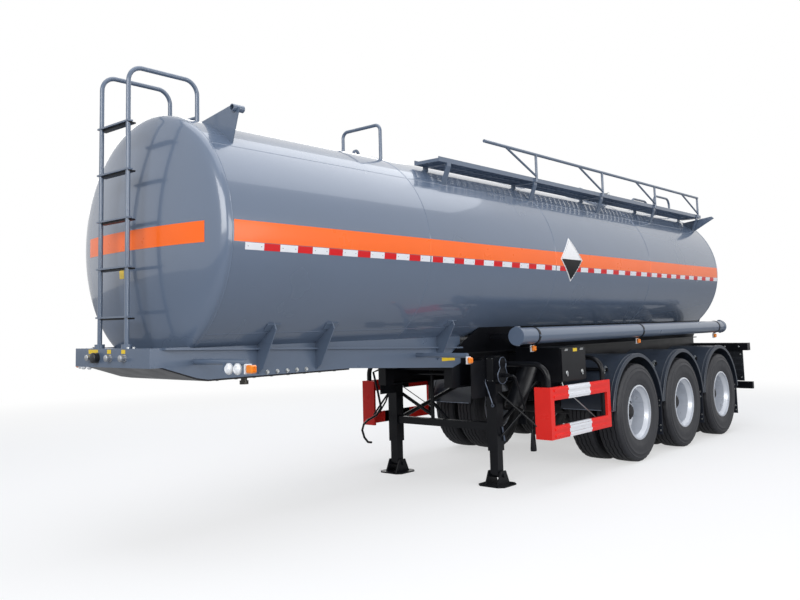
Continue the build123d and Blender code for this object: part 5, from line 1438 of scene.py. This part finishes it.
@dataclass
class SmallFittings:
    """Ladder treads, shift rods, hooks, stays and flap bolts that show as thin dark or light lines; the treads' black
    is painted shade.
    """

    tread_levels: tuple[float, ...] = (1.680, 2.030, 2.376, 2.722, 3.070)
    tread_back: float = 0.05
    tread_front: float = 0.004
    tread_ends: tuple[float, float] = (-0.238, 0.167)
    tread_thick: float = 0.012
    rung_half: float = 0.006
    rung_inset: float = 0.036
    leg_x: float = 1.056
    leg_y: float = 0.641
    leg_half: float = 0.0575
    plate_half: float = 0.038
    plate_levels: tuple[float, float] = (1.0, 1.235)
    hook_radius: float = 0.012
    hook_path: tuple[tuple[float, float, float], ...] = (
        (1.07, -0.70, 1.12), (1.15, -0.77, 1.1), (1.235, -0.8, 1.07), (1.17, -0.8, 0.86), (1.122, -0.8, 0.68),
        (1.20, -0.8, 0.605), (1.34, -0.8, 0.565), (1.405, -0.8, 0.53), (1.432, -0.8, 0.47), (1.40, -0.8, 0.39),
        (1.345, -0.8, 0.335), (1.29, -0.8, 0.325))
    link_path: tuple[tuple[float, float, float], ...] = (
        (1.058, -0.70, 0.95), (0.98, -0.76, 0.92), (1.04, -0.8, 0.74), (1.15, -0.8, 0.63))
    grip_place: tuple[float, float] = (0.925, 0.985)
    grip_rings: tuple[tuple[float, float, float], ...] = (
        (0.545, 0.0, 0.0), (0.54, 0.014, 0.013), (0.52, 0.018, 0.017), (0.355, 0.032, 0.03), (0.335, 0.03, 0.028),
        (0.334, 0.0, 0.0))
    stay_path: tuple[tuple[float, float, float], ...] = (
        (-0.207, 1.1, 0.533), (0.352, 1.1, 0.829), (0.46, 1.085, 0.9), (0.46, 1.06, 0.967))
    axle_pitch: float = 1.31
    flap_behind: float = 0.63
    flap_bolt_y: float = 1.2
    flap_half: float = 0.004

    def treads(self) -> None:
        """Sets a step plate under each rung of both ladders, behind the rung, in black that paints the shade under the
        rungs.
        """
        plates = Shape()
        low_y, high_y = self.tread_ends
        for node, facing in (("front_ladder", 1), ("rear_ladder", -1)):
            low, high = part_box(node)
            line = (high.x if facing > 0 else low.x) - facing * self.rung_inset
            rear, front = sorted((line - facing * self.tread_back, line + facing * self.tread_front))
            for level in self.tread_levels:
                top = level - self.rung_half
                plates.block((rear, low_y, top - self.tread_thick), (front, high_y, top), 0.003)
        # the black chassis finish on the plates paints the shade under the rungs
        plates.make("ladder_step_plates", [Finishes.chassis_enamel], CHASSIS)

    def levers(self) -> None:
        """Hangs the light gear-shift rods on the left leg and fits its blank rating plate."""
        face = self.leg_x + self.leg_half
        outer = self.leg_y + self.leg_half
        rods = Shape()
        rods.tube([(face + 0.014, 0.588, 1.03), (face + 0.016, 0.592, 0.99), (face + 0.018, 0.668, 0.79)], 0.006, 8)
        rods.lathe([(-0.005, 0.008), (-0.005, 0.017), (0.005, 0.017), (0.005, 0.008)], (face + 0.018, 0.67, 0.772),
                   (1, 0, 0), 16)
        rods.tube([(self.leg_x - 0.02, outer + 0.01, 0.56), (self.leg_x - 0.05, outer + 0.014, 0.42)], 0.009, 8)
        rods.make("leg_shift_rods", [Finishes.grey_steel_and_rim_highlight], CHASSIS)
        plate = Shape()
        wide = self.plate_half
        low, high = self.plate_levels
        plate.block((face, self.leg_y - wide, low), (face + 0.003, self.leg_y + wide, high), 0.001)
        plate.tag = 1
        for y in (self.leg_y - wide + 0.008, self.leg_y + wide - 0.008):
            for z in (low + 0.01, high - 0.01):
                plate.lathe([(0.0, 0.005), (0.002, 0.004), (0.003, 0.0)], (face + 0.0028, y, z), (1, 0, 0), 10)
        plate.make("leg_blank_plate", [Finishes.black_nylon, Finishes.zinc], CHASSIS, closed=False)

    def hooks(self) -> None:
        """Hangs the hook rods beside the right leg and the tapered grip behind the left guard's front end."""
        hooks = Shape()
        hooks.tube(self.hook_path, self.hook_radius, 10)
        hooks.tube(self.link_path, 0.009, 10)
        x, y = self.grip_place
        hooks.tube([(x - 0.012, y + 0.01, 0.66), (x, y, 0.6), (x, y, 0.5)], 0.011, 10)
        turns = [math.tau * k / 12 for k in range(13)]
        hooks.sheet([[(x + half_x * math.cos(turn), y + half_y * math.sin(turn), z) for turn in turns]
                     for z, half_x, half_y in self.grip_rings])
        hooks.make("hanging_hooks", [Finishes.chassis_enamel], CHASSIS)

    def stays(self) -> None:
        """Runs the thin light stay of each side guard from its rear arm up to the box or rail."""
        stays = Shape()
        for side in Side:
            stays.tube([(x, side.value * y, z) for x, y, z in self.stay_path], 0.006, 8)
        stays.make("guard_stays", [Finishes.zinc], CHASSIS)

    def flaps(self) -> None:
        """Bolts each mud flap along its outer edge, on both faces."""
        bolts = Shape()
        for side in Side:
            for number in AXLES:
                flap_x = from_axle(-self.axle_pitch * (number - 1) - self.flap_behind)
                for z in (0.27, 0.33, 0.56, 0.62):
                    for out in (1, -1):
                        bolts.bolt((flap_x + out * self.flap_half, side.value * self.flap_bolt_y, z), (out, 0, 0),
                                   0.016, 0.007)
        bolts.make("flap_bolts", [Finishes.zinc], CHASSIS)

    def build(self) -> None:
        """Builds the small fittings."""
        self.treads()
        self.levers()
        self.hooks()
        self.stays()
        self.flaps()


class Paintwork:
    """Gives every CAD node the finish of its real surface."""

    enamelled = ("manhole_neck", "tank_top_fittings", "corner_plates", "front_ladder", "rear_ladder", "walkway_deck",
                 "walkway_brackets", "walkway_handrail", "front_beam", "neck_girders", "neck_gussets", "marker_arms",
                 "hose_tube_left", "hose_tube_right")
    others = {
        "tank_shell": Finishes.tank_enamel,
        "manhole_lid": Finishes.stainless,
        "kingpin": Finishes.pin_steel,
        "front_couplings": Finishes.cast_aluminium,
        "marker_lamps": Finishes.lens_amber,
        "tail_lamps": Finishes.lens_red,
        "side_guard_left": Finishes.signal_red,
        "side_guard_right": Finishes.signal_red,
        "mudguards_left": Finishes.guard_plastic,
        "mudguards_right": Finishes.guard_plastic,
        "mud_flaps": Finishes.flap_rubber,
        "rear_panels": Finishes.panel_plastic,
        "axles": Finishes.cast_iron,
        "brake_chambers": Finishes.cast_iron,
        "leaf_springs": Finishes.spring_steel,
        "outlet_valve": Finishes.cast_aluminium,
    }

    def finish_of(self, node: str) -> Finish:
        """Finds the finish of a CAD node.

        Args:
            node: the node's name.

        Returns:
            Its finish.
        """
        if node in self.others:
            return self.others[node]
        if node in self.enamelled:
            return Finishes.frame_enamel
        if node.endswith("_rims"):
            return Finishes.wheel_silver
        if node.endswith("_tyres"):
            return Finishes.tyre_rubber
        return Finishes.chassis_enamel

    def build(self) -> None:
        """Sets the finish on each node's material slots."""
        for node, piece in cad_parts.items():
            material = self.finish_of(node).build()
            if not piece.material_slots:
                piece.data.materials.append(material)
            for place in piece.material_slots:
                place.material = material


@dataclass(frozen=True)
class Lamp:
    """One soft rectangular lamp, with its place, its aim, its width and height, and its power in watts."""

    name: str
    place: tuple[float, float, float]
    aim: tuple[float, float, float]
    size: tuple[float, float]
    power: float
    colour: str = "#FFFFFF"

    def build(self) -> None:
        """Hangs the lamp in the scene."""
        light = bpy.data.lights.new(self.name, "AREA")
        light.shape = "RECTANGLE"
        light.size, light.size_y = self.size
        light.energy = self.power
        light.color = linear(self.colour)[:3]
        lamp = bpy.data.objects.new(self.name, light)
        bpy.context.scene.collection.objects.link(lamp)
        lamp.location = self.place
        lamp.rotation_euler = (Vector(self.aim) - Vector(self.place)).to_track_quat("-Z", "Y").to_euler()


def seen_directly(tree: bpy.types.NodeTree) -> tuple[bpy.types.NodeSocket, bpy.types.NodeSocket]:
    """Tells the rays that show a surface to the camera from those that light the trailer.

    Args:
        tree: the node tree that takes the nodes.

    Returns:
        One socket that is 1 for camera and transmission rays, and one that is 1 for glossy rays.
    """
    ray = add_node(tree, "ShaderNodeLightPath")
    seen = add_node(tree, "ShaderNodeMath", {"operation": "MAXIMUM"}, {
        0: ray.outputs["Is Camera Ray"], 1: ray.outputs["Is Transmission Ray"]})
    return seen.outputs["Value"], ray.outputs["Is Glossy Ray"]


@dataclass
class Studio:
    """A pale floor, soft light and the camera at the photograph's viewing angle."""

    lamps: tuple[Lamp, ...] = (
        Lamp("overhead", (0.0, 1.0, 9.0), (0.0, 0.0, 1.5), (15.0, 8.0), 530.0, "#F4F8FF"),
        Lamp("front_fill", (13.0, 4.0, 5.5), (2.0, 0.0, 1.6), (8.0, 5.0), 720.0),
        Lamp("left_fill", (1.0, 12.0, 3.6), (-0.5, 0.0, 0.9), (14.0, 4.0), 740.0),
        Lamp("far_edge", (-3.0, -9.0, 6.0), (0.0, 0.0, 2.0), (10.0, 4.0), 260.0),
    )
    sky: str = "#E4EAF4"
    sky_strength: float = 0.45
    floor_reach: float = 60.0
    floor_steps: int = 12
    eye: tuple[float, float, float] = (7.8868, 5.2140, 1.5837)
    heading: float = 221.63
    pitch: float = 5.68
    roll: float = 1.354
    focal_px: float = 812.548
    centre_px: tuple[float, float] = (377.268, 244.008)
    frame_px: tuple[int, int] = (800, 600)
    sensor_mm: float = 36.0
    floor_shade: str = "#9A9B9D"
    floor_lift: float = 0.55
    floor_mirror: float = 0.2
    floor_fade: tuple[float, float] = (5.5, 14.0)

    def camera(self) -> None:
        """Sets the camera by its place, heading, pitch and roll."""
        heading = math.radians(self.heading)
        pitch = math.radians(self.pitch)
        roll = math.radians(self.roll)
        ahead = Vector((math.cos(heading) * math.cos(pitch), math.sin(heading) * math.cos(pitch), math.sin(pitch)))
        level = ahead.cross(Vector((0, 0, 1))).normalized()
        below = ahead.cross(level)
        right = level * math.cos(roll) + below * math.sin(roll)
        down = below * math.cos(roll) - level * math.sin(roll)
        lens = bpy.data.cameras.new("photo_camera")
        lens.sensor_width = self.sensor_mm
        lens.sensor_fit = "HORIZONTAL"
        lens.lens = self.focal_px * self.sensor_mm / self.frame_px[0]
        lens.shift_x = (self.frame_px[0] / 2 - self.centre_px[0]) / self.frame_px[0]
        lens.shift_y = (self.centre_px[1] - self.frame_px[1] / 2) / self.frame_px[0]
        lens.clip_end = 200.0
        turn = Matrix((right, -down, -ahead)).transposed()
        camera = bpy.data.objects.new("photo_camera", lens)
        bpy.context.scene.collection.objects.link(camera)
        camera.matrix_world = Matrix.Translation(Vector(self.eye)) @ turn.to_4x4()
        bpy.context.scene.camera = camera

    def world(self) -> None:
        """Lights the scene with an even grey sky, which shows white to the camera and in reflections."""
        world = bpy.data.worlds.new("studio_world")
        bpy.context.scene.world = world
        world.use_nodes = True
        tree = world.node_tree
        tree.nodes.clear()
        seen, glossy = seen_directly(tree)
        shown = add_node(tree, "ShaderNodeMath", {"operation": "MAXIMUM"}, {0: seen, 1: glossy})
        even = add_node(tree, "ShaderNodeBackground", {}, {"Color": linear(self.sky), "Strength": self.sky_strength})
        white = add_node(tree, "ShaderNodeBackground", {}, {"Color": (1.0, 1.0, 1.0, 1.0), "Strength": 1.0})
        mixed = add_node(tree, "ShaderNodeMixShader", {}, {
            0: shown.outputs["Value"], 1: even.outputs["Background"], 2: white.outputs["Background"]})
        add_node(tree, "ShaderNodeOutputWorld", {}, {"Surface": mixed.outputs["Shader"]})

    def floor(self) -> None:
        """Lays the floor, which fades to the white background away from the trailer."""
        ground = Shape()
        count = self.floor_steps
        marks = [self.floor_reach * (2 * i / count - 1) for i in range(count + 1)]
        ground.sheet([[(x, y, 0.0) for y in marks] for x in marks])
        mesh = bpy.data.meshes.new("studio_floor")
        mesh.from_pydata(ground.points, [], [f[::-1] for f in ground.faces])
        mesh.materials.append(self.floor_material())
        floor = bpy.data.objects.new("studio_floor", mesh)
        bpy.context.scene.collection.objects.link(floor)

    def floor_material(self) -> bpy.types.Material:
        """Builds the floor's paint, lifted to the background's white where it is seen, and wholly white far off.

        Returns:
            The material.
        """
        material = Finishes.floor_paint.build()
        tree = material.node_tree
        shader = next(n for n in tree.nodes if n.type == "BSDF_PRINCIPLED")
        out = next(n for n in tree.nodes if n.type == "OUTPUT_MATERIAL")
        place = next(n for n in tree.nodes if n.type == "TEX_COORD")
        seen, glossy = seen_directly(tree)
        paint = add_node(tree, "ShaderNodeMix", {"data_type": "RGBA"}, {
            "Factor": seen, "A": linear(self.floor_shade), "B": linear(Finishes.floor_paint.colour)})
        tree.links.new(paint.outputs["Result"], shader.inputs["Base Color"])
        away = add_node(tree, "ShaderNodeVectorMath", {"operation": "LENGTH"}, {0: place.outputs["Object"]})
        near, far = self.floor_fade
        fade = add_node(tree, "ShaderNodeMapRange", {"interpolation_type": "SMOOTHSTEP"}, {
            "Value": away.outputs["Value"], "From Min": near, "From Max": far, "To Min": self.floor_lift,
            "To Max": 1.0})
        share = add_node(tree, "ShaderNodeMath", {"operation": "MULTIPLY"}, {0: seen, 1: fade.outputs["Result"]})
        mirrored = add_node(tree, "ShaderNodeMath", {"operation": "MULTIPLY"}, {0: glossy, 1: self.floor_mirror})
        share = add_node(tree, "ShaderNodeMath", {"operation": "MAXIMUM"}, {
            0: share.outputs["Value"], 1: mirrored.outputs["Value"]})
        glow = add_node(tree, "ShaderNodeEmission", {}, {"Color": (1.0, 1.0, 1.0, 1.0), "Strength": 1.0})
        mixed = add_node(tree, "ShaderNodeMixShader", {}, {
            0: share.outputs["Value"], 1: shader.outputs["BSDF"], 2: glow.outputs["Emission"]})
        tree.links.new(mixed.outputs["Shader"], out.inputs["Surface"])
        return material

    def build(self) -> None:
        """Sets up view, camera, lamps, world and floor."""
        bpy.context.scene.view_settings.view_transform = "Standard"
        self.camera()
        for lamp in self.lamps:
            lamp.build()
        self.world()
        self.floor()


def main() -> None:
    """Builds the looks of the trailer in order."""
    logging.basicConfig(level=logging.INFO, format="%(message)s")
    Studio().build()
    Paintwork().build()
    TankLivery().build()
    for side in Side:
        for number in AXLES:
            WheelDress(number, side).build()
    MarkerLamps().build()
    GuardBands().build()
    FrontFittings().build()
    WalkwayGrating().build()
    MudguardTrim().build()
    ChassisDress().build()
    SmallFittings().build()


if __name__ == "__main__":
    main()
